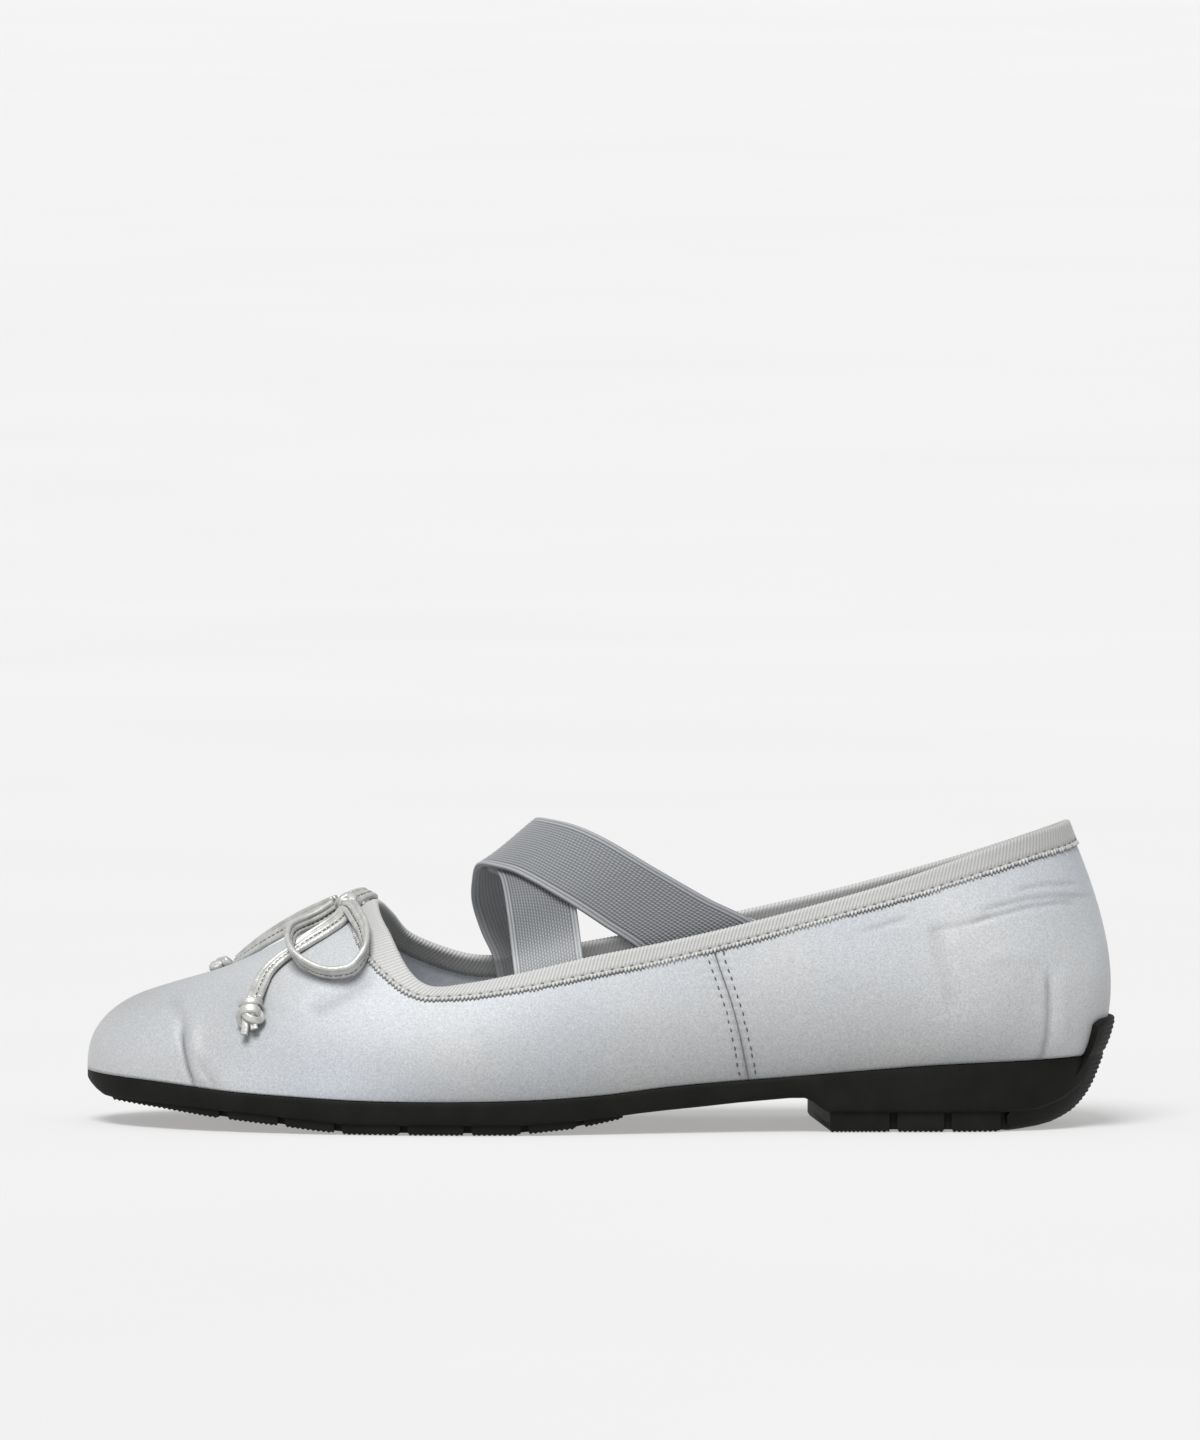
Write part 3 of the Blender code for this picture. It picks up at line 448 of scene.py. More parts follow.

# Creases of the satin, with painted shade in their troughs: side, height off the skin, half width, line of x
# and z.
CREASES = [
    (-1, -0.55, 1.3, [(19.8, 32.6), (21.4, 30.2), (23.4, 27.4), (23.8, 23.6), (24.0, 20.0)]),
    (-1, -0.75, 0.5, [(23.4, 26.0), (23.6, 22.6), (24.5, 18.1), (25.4, 14.5), (27.0, 10.6), (30.0, 3.0)]),
    (-1, 0.55, 1.6, [(26.2, 27.0), (26.5, 20.5), (27.8, 15.0), (29.8, 9.0), (31.0, 6.0)]),
    (-1, -0.20, 0.8, [(26.6, 19.5), (27.6, 17.6), (29.4, 14.4), (31.4, 11.6), (33.0, 8.5)]),
    (-1, 0.18, 1.6, [(29.0, 20.0), (31.6, 15.0), (34.4, 10.0)]),
    (-1, -0.7, 2.2, [(53.0, 29.0), (57.4, 31.2), (62.0, 33.6), (66.6, 36.6), (70.0, 39.4)]),
    (-1, -0.10, 2.4, [(94.0, 26.0), (97.0, 21.0), (99.0, 15.0)]),
    (-1, -0.42, 0.7, [(230.8, 40.5), (231.0, 35.3), (231.2, 29.3), (230.8, 22.2), (229.8, 18.4),
                      (226.0, 15.0)]),
    (-1, 0.44, 2.4, [(234.4, 41.0), (234.6, 30.0), (234.0, 20.0), (233.0, 12.0)]),
    (-1, 0.16, 2.0, [(214.0, 41.5), (218.2, 42.4), (224.1, 43.0), (229.6, 42.0)]),
    (-1, -0.42, 1.5, [(202.8, 51.0), (203.6, 47.5), (205.0, 42.5), (206.7, 35.3), (208.2, 27.0)]),
    (-1, 0.18, 2.0, [(207.4, 48.0), (209.0, 42.0), (211.0, 34.0)]),
    (-1, -0.24, 0.65, [(212.0, 52.4), (218.6, 54.0), (225.5, 55.6), (231.5, 56.3), (239.0, 55.8),
                       (244.0, 55.0)]),
    (-1, -0.26, 0.65, [(210.0, 49.4), (216.4, 51.4), (225.5, 53.7), (233.0, 54.6), (241.0, 54.3)]),
    (-1, -0.2, 0.6, [(222.0, 57.6), (230.0, 59.0), (240.0, 58.8)]),
    (-1, -0.14, 0.8, [(186.0, 47.8), (190.6, 49.1), (194.0, 50.4), (198.4, 51.4)]),
    (-1, -0.13, 0.8, [(201.0, 47.8), (205.0, 48.8), (211.0, 49.9), (219.0, 52.2)]),
    (1, -0.28, 0.9, [(19.5, 27.8), (22.5, 24.0), (24.0, 16.0), (25.6, 10.6), (27.0, 6.0)]),
    (1, 0.30, 2.0, [(24.8, 25.0), (26.0, 18.0), (28.4, 8.0)]),
    (1, -0.36, 2.8, [(72.0, 42.0), (66.0, 36.0), (60.0, 29.0)]),
    (1, -0.30, 0.8, [(231.6, 40.0), (231.6, 32.0), (231.0, 24.0), (228.0, 15.0)]),
    (1, 0.28, 2.2, [(234.6, 40.0), (234.4, 26.0), (233.0, 14.0)]),
    (1, -0.28, 1.8, [(201.0, 50.0), (203.0, 42.0), (206.0, 30.0)]),
    (1, -0.15, 0.7, [(206.0, 50.6), (222.0, 53.8), (238.0, 55.6), (244.0, 55.0)]),
]

# Share of painted shade that darkens the lower satin towards the feather edge, along the shoe.
SHADES = table("x share", [
    (0.0, 0.0), (30.0, 0.02), (55.0, 0.08), (80.0, 0.2), (110.0, 0.26), (200.0, 0.26), (222.0, 0.16),
    (234.0, 0.02), (248.0, 0.0),
])

# Painted light and shade on the satin: side (0 for both), x, z, reach along x and z, change of tone.
PAINTED_LIGHT_PATCHES = [
    (0, 9.0, 31.0, 17.0, 9.0, -0.22), (0, 42.0, 27.0, 17.0, 10.0, -0.2), (-1, 60.0, 10.0, 17.0, 7.0, 0.2),
    (-1, 30.0, 19.0, 7.0, 8.0, -0.11), (-1, 38.0, 10.0, 9.0, 7.0, 0.12), (-1, 136.0, 33.0, 16.0, 8.0, 0.06),
    (-1, 196.0, 47.0, 12.0, 6.0, -0.06), (-1, 211.0, 32.0, 9.0, 8.0, 0.07), (0, 235.0, 26.0, 6.0, 14.0, 0.13),
    (0, 243.5, 44.0, 5.0, 14.0, 0.14),
]

# Width of the binding's outer face against the share of the way from throat to heel, and its painted shade
# along x.
TAPE_WIDTHS = table("share lateral medial", [
    (0.0, 4.6, 4.6), (0.035, 5.2, 5.0), (0.07, 6.6, 5.4), (0.1, 7.4, 5.4), (0.135, 6.8, 5.0),
    (0.165, 5.2, 4.6), (0.21, 3.5, 4.2), (0.255, 3.8, 4.2), (0.335, 4.3, 4.4), (0.73, 4.4, 4.4),
    (0.81, 5.2, 4.6), (0.88, 5.5, 4.8), (1.0, 5.4, 5.4),
])
TAPE_PAINTED_SHADE = table("x share", [(185.0, 1.0), (225.0, 0.75)])

# Outer selvedge from its foot up: 1 along the picot or 0 straight, place inward from there,
# lift and its gain on a picot, then the tone's share of painted light, plain part and gain on a picot.
SELVEDGE_ROWS = [
    # The two lowest rows, nearly black, are a painted shadow under the selvedge.
    (1, -0.3, 0.03, 0.0, 0.05, 0.0, 0.0), (1, 0.0, 0.03, 0.0, 0.1, 0.0, 0.0),
    (1, 0.05, 0.3, 0.3, 0.0, 0.35, 0.85), (1, 0.42, 0.45, 0.32, 0.0, 0.45, 0.8),
    (0, 0.8, 0.45, 0.1, 0.0, 0.55, 0.3), (0, SELVEDGE, TAPE_LIFT - 0.2, 0.0, 0.5, 0.0, 0.0),
]

# Inner selvedge: place down from it, lift, and the same three shares of tone.
INNER_SELVEDGE_ROWS = [
    (-0.7, TAPE_LIFT - 0.15, 0.35, 0.0, 0.0), (0.0, TAPE_LIFT - 0.1, 0.0, 0.2, 0.6),
    (0.1, 0.02, 0.4, 0.0, 0.0),
]


def eased_span(share, value, rise, start, end):
    """Places along a span that leaves and arrives at slopes of its own."""
    return value + share * rise + share * (1 - share) * (start * (1 - share) + end * share)


def smooth(x, stations, values):
    """Value at x on a smooth curve through stations."""
    slopes = np.gradient(values, stations)
    x = np.clip(x, stations[0], stations[-1])
    i = np.clip(np.searchsorted(stations, x, side="right") - 1, 0, len(stations) - 2)
    width = stations[i + 1] - stations[i]
    rise = values[i + 1] - values[i]
    start = slopes[i] * width - rise
    end = rise - slopes[i + 1] * width
    return eased_span((x - stations[i]) / width, values[i], rise, start, end)


def eased(rows, name, x):
    """One column of a table at a place in its first column, along a smooth curve."""
    return smooth(x, rows[next(iter(rows))], rows[name])


def straight(rows, name, x):
    """One column of a table at a place in its first column, along straight lines."""
    return np.interp(x, rows[next(iter(rows))], rows[name])


def along(share, shares, points):
    """Points at the given shares of a polyline."""
    return np.stack([np.interp(share, shares, points[:, k]) for k in range(points.shape[1])], axis=-1)


def lengths_of(points):
    """Length of a polyline up to each of its points."""
    steps = np.linalg.norm(np.diff(points, axis=0), axis=1)
    return np.concatenate([[0.0], np.cumsum(steps)])


def shares_of(points):
    """Share of its length at which each point of a polyline lies."""
    lengths = lengths_of(points)
    return lengths / lengths[-1]


def unit(vectors):
    """Vectors brought to length one."""
    return vectors / np.maximum(np.linalg.norm(vectors, axis=-1, keepdims=True), 1e-9)


def around_run(points):
    """Direction along a closed polyline at each of its points."""
    return unit(np.roll(points, -1, axis=0) - np.roll(points, 1, axis=0))


def circle(count):
    """Angles once round, the first not repeated."""
    return np.linspace(0.0, 2 * math.pi, count, endpoint=False)


def quarter(count):
    """Angles through a quarter turn."""
    return np.linspace(0.0, math.pi / 2, count)


def bell(far, width):
    """One at nought, falling off on both sides over a half width."""
    return np.exp(-(far / width) ** 2)


def arc(share, power):
    """Fall of a superellipse from one at nought to nought at one."""
    return (1 - share ** power) ** (1 / power)


def rounded(x, length, power):
    """Nought at a tip and one from the given length on, along a superellipse."""
    return arc(1 - np.clip(x / length, 0.0, 1.0), power)


def last(name, x):
    """One quantity of the last at x."""
    return eased(LAST, name, x)


def ridge_y(x):
    """Plan place of the last's ridge at x."""
    return last("centre", x) + last("ridge", x)


def past_heel(x, back=HEEL_BACK):
    """Share of the way from the start of the heel's round to its back."""
    return np.clip((x - HEEL_X) / (back - HEEL_X), 0.0, 1.0)


def feather_y(x, side, out=0.0, back=HEEL_BACK):
    """Plan place of the feather edge at x, moved outward."""
    taper = arc(past_heel(x, back), HEEL_POWER)
    half = (last("half_width", x) + out) * rounded(x, TOE_ROUND, 2.0) * taper
    return last("centre", x) + side * half


def reach_at(x, y):
    """Share of the way from the ridge to the feather edge at a plan point."""
    ridge = ridge_y(x)
    side = np.where(y < ridge, -1.0, 1.0)
    edge = last("centre", x) + side * last("half_width", x) * rounded(x, TOE_ROUND, 2.0)
    across = np.abs(y - ridge) / np.maximum(np.abs(edge - ridge), 1e-6)
    return (across ** HEEL_POWER + past_heel(x) ** HEEL_POWER) ** (1 / HEEL_POWER)


def last_height(x, y, limit=1.0):
    """Height of the last's skin over a plan point, the feather edge at the limit."""
    arch = arc(np.clip(reach_at(x, y) / limit, 0.0, 1.0), last("fullness", x))
    return last("feather", x) + last("rise", x) * rounded(x, NOSE_ROUND, NOSE_POWER) * arch


def wall_y(x, z, side):
    """Plan place of the last's skin at a height on one side."""
    arch = np.clip((z - last("feather", x)) / last("rise", x), 0.0, 1.0)
    reach = arc(arch, last("fullness", x))
    across = np.maximum(reach ** HEEL_POWER - past_heel(x) ** HEEL_POWER, 0.0) ** (1 / HEEL_POWER)
    edge = last("centre", x) + side * last("half_width", x)
    return ridge_y(x) + (edge - ridge_y(x)) * across


def outline(side):
    """Feather edge of one side in plan, from the toe tip to the heel's back."""
    turn = quarter(ROUND_POINTS)
    x = np.concatenate([TOE_ROUND * (1 - np.cos(turn)), np.linspace(TOE_ROUND, HEEL_X, SIDE_POINTS)[1:]])
    heel_x = HEEL_X + (HEEL_BACK - HEEL_X) * np.sin(turn[1:]) ** (2 / HEEL_POWER)
    half = last("half_width", heel_x) * np.abs(np.cos(turn[1:])) ** (2 / HEEL_POWER)
    y = np.concatenate([feather_y(x, side), last("centre", heel_x) + side * half])
    return np.column_stack([np.concatenate([x, heel_x]), y])


def topline_points(name, side):
    """Places the opening's edge passes on one side, throat first."""
    y = ridge_y(THROAT_X) + side * THROAT["offset"]
    front = np.column_stack([THROAT[name], y, last_height(THROAT[name], y)])
    wall = wall_y(TOPLINE["x"], TOPLINE[name], side)
    return np.concatenate([front, np.column_stack([TOPLINE["x"], wall, TOPLINE[name]])])


def closed_curve(points, steps):
    """Smooth closed polyline through points, a number of steps to each span."""
    ahead = np.roll(points, -1, axis=0)
    before = np.roll(points, 1, axis=0)
    gone = np.linalg.norm(points - before, axis=1)[:, None]
    left = np.linalg.norm(ahead - points, axis=1)[:, None]
    slope = ((points - before) / gone * left + (ahead - points) / left * gone) / (gone + left)
    share = np.linspace(0.0, 1.0, steps, endpoint=False)[None, :, None]
    rise = (ahead - points)[:, None]
    start = (slope * left)[:, None] - rise
    end = rise - (np.roll(slope, -1, axis=0) * left)[:, None]
    return eased_span(share, points[:, None], rise, start, end).reshape(-1, 3)


def opening():
    """Closed edge of the opening and its number of points to the heel's back."""
    centre = ridge_y(THROAT_X)
    front = [[THROAT_X, centre, float(last_height(THROAT_X, centre))]]
    reach = arc((HEEL_TOP - last("feather", HEEL_BACK)) / last("rise", HEEL_BACK), HEEL_POWER)
    back = [[HEEL_X + reach * (HEEL_BACK - HEEL_X), float(last("centre", HEEL_BACK)), HEEL_TOP]]
    lateral = topline_points("lateral", -1.0)
    medial = topline_points("medial", 1.0)[::-1]
    curve = closed_curve(np.concatenate([front, lateral, back, medial]), TOP_STEPS)
    return np.concatenate([curve, curve[:1]]), (len(lateral) + 1) * TOP_STEPS


TOP, TOP_BACK = opening()
TOP_SHARES = shares_of(TOP)
TOP_LATERAL = TOP[:TOP_BACK + 1]
TOP_MEDIAL = TOP[TOP_BACK:][::-1]
EDGE_LATERAL = outline(-1.0)
EDGE_MEDIAL = outline(1.0)
EDGE = np.concatenate([EDGE_LATERAL, EDGE_MEDIAL[-2::-1]])
EDGE_AROUND = np.concatenate([shares_of(EDGE_LATERAL), 2 - shares_of(EDGE_MEDIAL)[-2::-1]])


def edge_normals():
    """Outward plan direction at each point of the feather edge."""
    closed = EDGE[:-1]
    run = around_run(closed)
    turned = np.column_stack([run[:, 1], -run[:, 0]])
    turned = turned * np.sign(np.sum(turned * (closed - closed.mean(axis=0))))
    return np.concatenate([turned, turned[:1]])


EDGE_NORMAL = edge_normals()


def matched():
    """Places around the feather edge, and the topline's shares that belong to them."""
    lateral = np.interp(MATCH["topline_x"], TOP_LATERAL[:, 0], TOP_SHARES[:TOP_BACK + 1])
    medial = np.interp(MATCH["topline_x"], TOP_MEDIAL[:, 0], TOP_SHARES[TOP_BACK:][::-1])
    foot_lateral = np.interp(MATCH["feather_x"], EDGE_LATERAL[:, 0], shares_of(EDGE_LATERAL))
    foot_medial = 2 - np.interp(MATCH["feather_x"], EDGE_MEDIAL[:, 0], shares_of(EDGE_MEDIAL))
    around = np.concatenate([[0.0], foot_lateral, [1.0], foot_medial[::-1], [2.0]])
    return around, np.concatenate([[0.0], lateral, [TOP_SHARES[TOP_BACK]], medial[::-1], [1.0]])


MATCH_AROUND, MATCH_SHARE = matched()


def top_at(around):
    """Places of the opening's edge above places around the feather edge."""
    return along(smooth(around, MATCH_AROUND, MATCH_SHARE), TOP_SHARES, TOP)


def outward_at(around):
    """Outward plan directions at places around the feather edge."""
    return unit(along(around, EDGE_AROUND, EDGE_NORMAL))


def swelling(share):
    """Side bulge of the wall from its foot to its top, one at its fullest."""
    share = np.clip(share, 0.0, 1.0)
    return share ** SWELL_POWERS[0] * (1 - share) ** SWELL_POWERS[1] / SWELL_PEAK


def skin(around, up):
    """Outer skin of the upper: around from the toe by the lateral side, up from feather to edge."""
    around = np.mod(around, 2.0)
    foot = along(around, EDGE_AROUND, EDGE)
    foot_x, foot_y = foot[:, :1], foot[:, 1:2]
    out = outward_at(around)
    top = top_at(around)
    top_x, top_y, top_z = top[:, :1], top[:, 1:2], top[:, 2:3]
    share = 1 - np.cos(up[None, :] * math.pi / 2)
    x = foot_x + (top_x - foot_x) * share
    y = foot_y + (top_y - foot_y) * share
    base = last("feather", foot_x)
    limit = np.where(foot_x > TOE_TIP, reach_at(foot_x, foot_y), 1.0)
    reach = (top_z - base) / (last_height(top_x, top_y, limit) - base)
    z = base + (last_height(x, y, limit) - base) * reach
    bulge = last("swell", foot_x) * swelling((z - base) / (top_z - base))
    return np.stack([x + bulge * out[:, :1], y + bulge * out[:, 1:2], z], axis=-1)


def skin_normals(points):
    """Outward directions of a closed-around grid of skin points."""
    around = np.roll(points, -1, axis=0) - np.roll(points, 1, axis=0)
    return unit(np.cross(around, np.gradient(points, axis=1)))


def to_world(points):
    """Millimetres from the toe tip to metres in the shared frame."""
    return (np.asarray(points, dtype=float) - np.array([LENGTH / 2, PLAN_MIDDLE, 0.0])) * MM


def grid_faces(count, ring, wrap_count=False, wrap_ring=False):
    """Four-cornered faces of a grid of points, count rows of ring points."""
    i = np.arange(count if wrap_count else count - 1)
    j = np.arange(ring if wrap_ring else ring - 1)
    i, j = np.meshgrid(i, j, indexing="ij")
    ahead = (i + 1) % count
    beside = (j + 1) % ring
    quads = [i * ring + j, ahead * ring + j, ahead * ring + beside, i * ring + beside]
    return np.stack(quads, axis=-1).reshape(-1, 4)


def new_object(name, data):
    """Object of the given data, linked to the scene."""
    item = bpy.data.objects.new(name, data)
    bpy.context.scene.collection.objects.link(item)
    return item


def new_mesh(name, points, faces, materials):
    """Smooth mesh object from points in metres, with its materials."""
    mesh = bpy.data.meshes.new(name)
    mesh.from_pydata(points, [], [list(face) for face in faces])
    for material in materials:
        mesh.materials.append(material)
    mesh.polygons.foreach_set("use_smooth", np.full(len(mesh.polygons), True))
    mesh.update()
    return new_object(name, mesh)


def add_mesh(name, points, faces, materials):
    """Mesh object from millimetre points, riding on the shoe."""
    item = new_mesh(name, to_world(points).tolist(), faces, materials)
    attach(item, "root")
    return item


def set_uv(item, values):
    """Texture places in millimetres, one pair for each point of the mesh."""
    mesh = item.data
    layer = mesh.uv_layers.new(name="millimetres")
    corners = np.zeros(len(mesh.loops), dtype=np.int32)
    mesh.loops.foreach_get("vertex_index", corners)
    layer.data.foreach_set("uv", np.asarray(values, dtype=np.float32)[corners].ravel())


def set_tone(item, values):
    """Tone at each point, nought in the hollows: painted shade in hollows and creases, painted light where
    lit.
    """
    held = item.data.attributes.new("tone", "FLOAT", "POINT")
    held.data.foreach_set("value", np.asarray(values, dtype=np.float32).ravel())


def join_tubes(name, tubes, material):
    """One mesh of several tubes through rings of points, each closed on itself or by end faces."""
    points, faces, start = [], [], 0
    for rings, closed in tubes:
        count, ring = rings.shape[:2]
        faces += (grid_faces(count, ring, closed, True) + start).tolist()
        if not closed:
            faces.append(list(range(start, start + ring)))
            faces.append([start + (count - 1) * ring + k for k in reversed(range(ring))])
        points.append(rings.reshape(-1, 3))
        start += count * ring
    return add_mesh(name, np.concatenate(points), faces, [material])


def swept(path, across, deep, wide, thick):
    """Rings of one section, wide and thick, set along a path with its across and deep directions."""
    return path[:, None] + across[:, None] * wide[None, :, None] + deep[:, None] * thick[None, :, None]


def oval(turn, first, second):
    """Points round an oval at the given angles, from its two half axes."""
    return np.outer(np.cos(turn), first) + np.outer(np.sin(turn), second)


def capsules(name, centres, runs, rises, size, material):
    """Short stitches with rounded ends, lying along their runs."""
    length, width, height = size
    runs, rises = unit(runs), unit(rises)
    sides = unit(np.cross(runs, rises))
    turn = circle(STITCH_SIDES)
    tubes = []
    for centre, run, rise, side in zip(centres, runs, rises, sides):
        section = oval(turn, side * width / 2, rise * height / 2)
        rings = [centre + run * length * place + section * share for place, share in STITCH_RINGS]
        tubes.append((np.array(rings), False))
    return join_tubes(name, tubes, material)


class Shader:
    """Node tree of one material, with short ways to add its nodes."""

    def __init__(self, name, colour, roughness, fixed):
        """New material with fixed values on the shader's own sockets."""
        self.material = bpy.data.materials.new(name)
        self.material.use_nodes = True
        self.tree = self.material.node_tree
        self.shader = self.tree.nodes["Principled BSDF"]
        self.feed(self.shader, {"Base Color": colour + (1.0,), "Roughness": roughness, **fixed})

    def feed(self, node, inputs):
        """Link each input that is given a socket, and set the others to their values."""
        for name, value in inputs.items():
            if isinstance(value, bpy.types.NodeSocket):
                self.tree.links.new(value, node.inputs[name])
            else:
                node.inputs[name].default_value = value

    def surface(self, inputs):
        """The material, once the shader's linked inputs are in place."""
        self.feed(self.shader, inputs)
        return self.material

    def node(self, kind, inputs, **settings):
        """New node with its settings and inputs."""
        made = self.tree.nodes.new(kind)
        for key, value in settings.items():
            setattr(made, key, value)
        self.feed(made, inputs)
        return made

    def place(self, kind):
        """Texture coordinates: Object in metres, or UV in millimetres."""
        return self.node("ShaderNodeTexCoord", {}).outputs[kind]

    def noise(self, scale, detail=3.0, rough=0.5):
        """Noise at a number of cells to the metre."""
        inputs = {"Scale": scale, "Detail": detail, "Roughness": rough, "Vector": self.place("Object")}
        return self.node("ShaderNodeTexNoise", inputs).outputs["Fac"]

    def wave(self, scale, axis, distortion=0.0):
        """Even bands at a number to the millimetre."""
        inputs = {"Scale": scale * math.pi / 10, "Distortion": distortion, "Detail": 1.0,
                  "Vector": self.place("UV")}
        return self.node("ShaderNodeTexWave", inputs, bands_direction=axis).outputs["Fac"]

    def blend(self, factor, low, high, between=(0.3, 0.7)):
        """Colour running from one tone to another with a factor."""
        ramp = self.node("ShaderNodeValToRGB", {"Fac": factor})
        for element, place, colour in zip(ramp.color_ramp.elements, between, (low, high)):
            element.position = place
            element.color = colour + (1.0,)
        return ramp.outputs["Color"]

    def grain(self, scale, low, high=1.0, rough=0.5):
        """Fine grey grain to multiply a colour with."""
        return self.blend(self.noise(scale, 2.0, rough), (low, low, low), (high, high, high))

    def multiply(self, factor, first, second):
        """Two colours or heights multiplied, by a share."""
        inputs = {0: factor, 6: first, 7: second}
        return self.node("ShaderNodeMix", inputs, data_type="RGBA", blend_type="MULTIPLY").outputs[2]

    def tone(self, dark, light):
        """Colour from the mesh's tone: painted shade in the hollows of its own relief up to painted light on
        its crowns.
        """
        made = self.node("ShaderNodeAttribute", {}, attribute_name="tone")
        return self.blend(made.outputs["Fac"], dark, light, (0.0, 1.0))

    def bump(self, height, strength, distance, under=None):
        """Fine relief on the surface, over another where one is given."""
        inputs = {"Strength": strength, "Distance": distance, "Height": height}
        if under is not None:
            inputs["Normal"] = under
        return self.node("ShaderNodeBump", inputs).outputs["Normal"]

    def woven(self, scale, strength):
        """Relief of a plain weave at a number of threads to the millimetre."""
        weave = self.multiply(1.0, self.wave(scale, "X"), self.wave(scale, "Y"))
        return self.bump(weave, strength, 0.0003)

    def spread(self, factor, low, high):
        """Factor brought between two values."""
        inputs = {"To Min": low, "To Max": high, "Value": factor}
        return self.node("ShaderNodeMapRange", inputs).outputs["Result"]


def satin_material():
    """Silver satin: close weave, a fine glint and slow changes of tone."""
    work = Shader("silver_satin", (0.45, 0.47, 0.49), 0.5, {
        "Metallic": 0.08, "Sheen Weight": 0.08, "Sheen Roughness": 0.4, "Specular IOR Level": 0.3})
    slow = work.blend(work.noise(20.0), (0.505, 0.533, 0.572), (0.583, 0.588, 0.584))
    woven = work.multiply(0.75, slow, work.grain(2100.0, 0.72, 1.1, 0.65))
    fine = work.bump(work.wave(4.2, "DIAGONAL", 0.6), 0.12, 0.00012)
    grit = work.bump(work.noise(3400.0, 2.0, 0.6), 0.35, 0.00018, fine)
    return work.surface({
        # The mesh's tone of painted shade and painted light darkens and lightens the satin.
        "Base Color": work.multiply(1.0, woven, work.tone((0.12, 0.12, 0.13), (1.0, 1.0, 1.0))),
        "Normal": work.bump(work.noise(60.0), 0.08, 0.002, grit),
        "Roughness": work.spread(work.noise(1200.0, 2.0), 0.44, 0.58)})


def lining_material():
    """Grey cloth lining."""
    work = Shader("grey_lining", (0.42, 0.435, 0.46), 0.8, {"Sheen Weight": 0.2})
    return work.surface({
        "Base Color": work.blend(work.noise(900.0, 2.0), (0.62, 0.645, 0.69), (0.71, 0.735, 0.78)),
        "Normal": work.woven(2.2, 0.35)})


def tape_material():
    """Pale grosgrain tape with a silky thread."""
    work = Shader("grosgrain_tape", (0.42, 0.42, 0.41), 0.62, {"Sheen Weight": 0.2})
    # Tone from the mesh: painted shade between ribs, under the selvedge, inside and towards the heel.
    ribs = work.tone((0.1, 0.1, 0.098), (0.56, 0.56, 0.545))
    return work.surface({
        "Base Color": work.multiply(0.8, ribs, work.grain(2200.0, 0.86)),
        "Normal": work.bump(work.noise(3200.0, 2.0), 0.3, 0.0002)})


def elastic_material():
    """Grey woven elastic with dull thread."""
    work = Shader("woven_elastic", (0.18, 0.186, 0.192), 0.72, {"Sheen Weight": 0.25, "Sheen Roughness": 0.5})
    # Tone from the mesh: painted shade in the weave and beside its cords, painted light by angle.
    weave = work.tone((0.082, 0.088, 0.098), (0.74, 0.755, 0.77))
    return work.surface({
        "Base Color": work.multiply(0.7, weave, work.grain(2600.0, 0.8)),
        "Normal": work.bump(work.noise(3600.0, 2.0), 0.3, 0.0002)})


def lace_material():
    """Silver-white leather lace with a fine grain."""
    work = Shader("lace_leather", (0.49, 0.49, 0.47), 0.36, {
        "Metallic": 0.35, "Coat Weight": 0.15, "Coat Roughness": 0.25})
    cells = work.node("ShaderNodeTexVoronoi", {"Scale": 2100.0, "Vector": work.place("Object")},
                      feature="DISTANCE_TO_EDGE")
    grain = work.bump(cells.outputs["Distance"], 0.3, 0.0002)
    return work.surface({
        "Base Color": work.blend(work.noise(420.0), (0.4, 0.4, 0.385), (0.56, 0.56, 0.54)),
        "Normal": work.bump(work.noise(700.0), 0.3, 0.0005, grain),
        "Roughness": work.spread(work.noise(800.0, 2.0), 0.28, 0.46)})


def rubber_material():
    """Black moulded rubber, matt with a faint bloom."""
    work = Shader("black_rubber", (0.006, 0.0062, 0.0052), 0.62, {"Specular IOR Level": 0.13})
    pits = work.bump(work.noise(2600.0, 2.0), 0.22, 0.0002)
    return work.surface({
        "Base Color": work.blend(work.noise(160.0, 4.0), (0.005, 0.0052, 0.0043), (0.0085, 0.0087, 0.0073)),
        "Normal": work.bump(work.noise(240.0), 0.08, 0.0006, pits),
        "Roughness": work.spread(work.noise(320.0), 0.52, 0.7)})


def sock_material():
    """Insole sock of pale grey cloth."""
    work = Shader("insole_sock", (0.42, 0.425, 0.43), 0.8, {"Sheen Weight": 0.15})
    tone = work.blend(work.noise(70.0), (0.40, 0.405, 0.41), (0.46, 0.465, 0.47))
    return work.surface({
        "Base Color": work.multiply(0.8, tone, work.grain(1800.0, 0.85)),
        "Normal": work.woven(1.6, 0.4)})


def thread_material(name, dark, light):
    """Twisted sewing thread."""
    work = Shader(name, dark, 0.6, {})
    return work.surface({
        "Base Color": work.blend(work.noise(2400.0, 2.0), dark, light),
        "Normal": work.bump(work.noise(5000.0, 1.0), 0.3, 0.0001)})


def floor_material():
    """Pale paper on a softly lit table."""
    work = Shader("studio_paper", (0.35, 0.35, 0.348), 0.9, {
        "Specular IOR Level": 0.1, "Emission Color": (1.0, 0.985, 0.97, 1.0), "Emission Strength": 0.38})
    return work.surface({
        "Base Color": work.blend(work.noise(3.0, 2.0), (0.345, 0.347, 0.35), (0.355, 0.357, 0.36))})


def line_distance(points, line):
    """Distance of each place from a polyline, and how full the line is there between its ends."""
    line = np.asarray(line, dtype=float)
    reach = lengths_of(line)
    best = np.full(points.shape[:-1], np.inf)
    place = np.zeros(points.shape[:-1])
    for k, (start, end) in enumerate(zip(line[:-1], line[1:])):
        run = end - start
        share = np.clip(((points - start) @ run) / (run @ run), 0.0, 1.0)
        far = np.linalg.norm(points - start - share[..., None] * run, axis=-1)
        place = np.where(far < best, (reach[k] + share * (reach[k + 1] - reach[k])) / reach[-1], place)
        best = np.minimum(best, far)
    fade = np.clip(np.minimum(place, 1 - place) / CREASE_FADE, 0.0, 1.0)
    return best, fade * fade * (3 - 2 * fade)


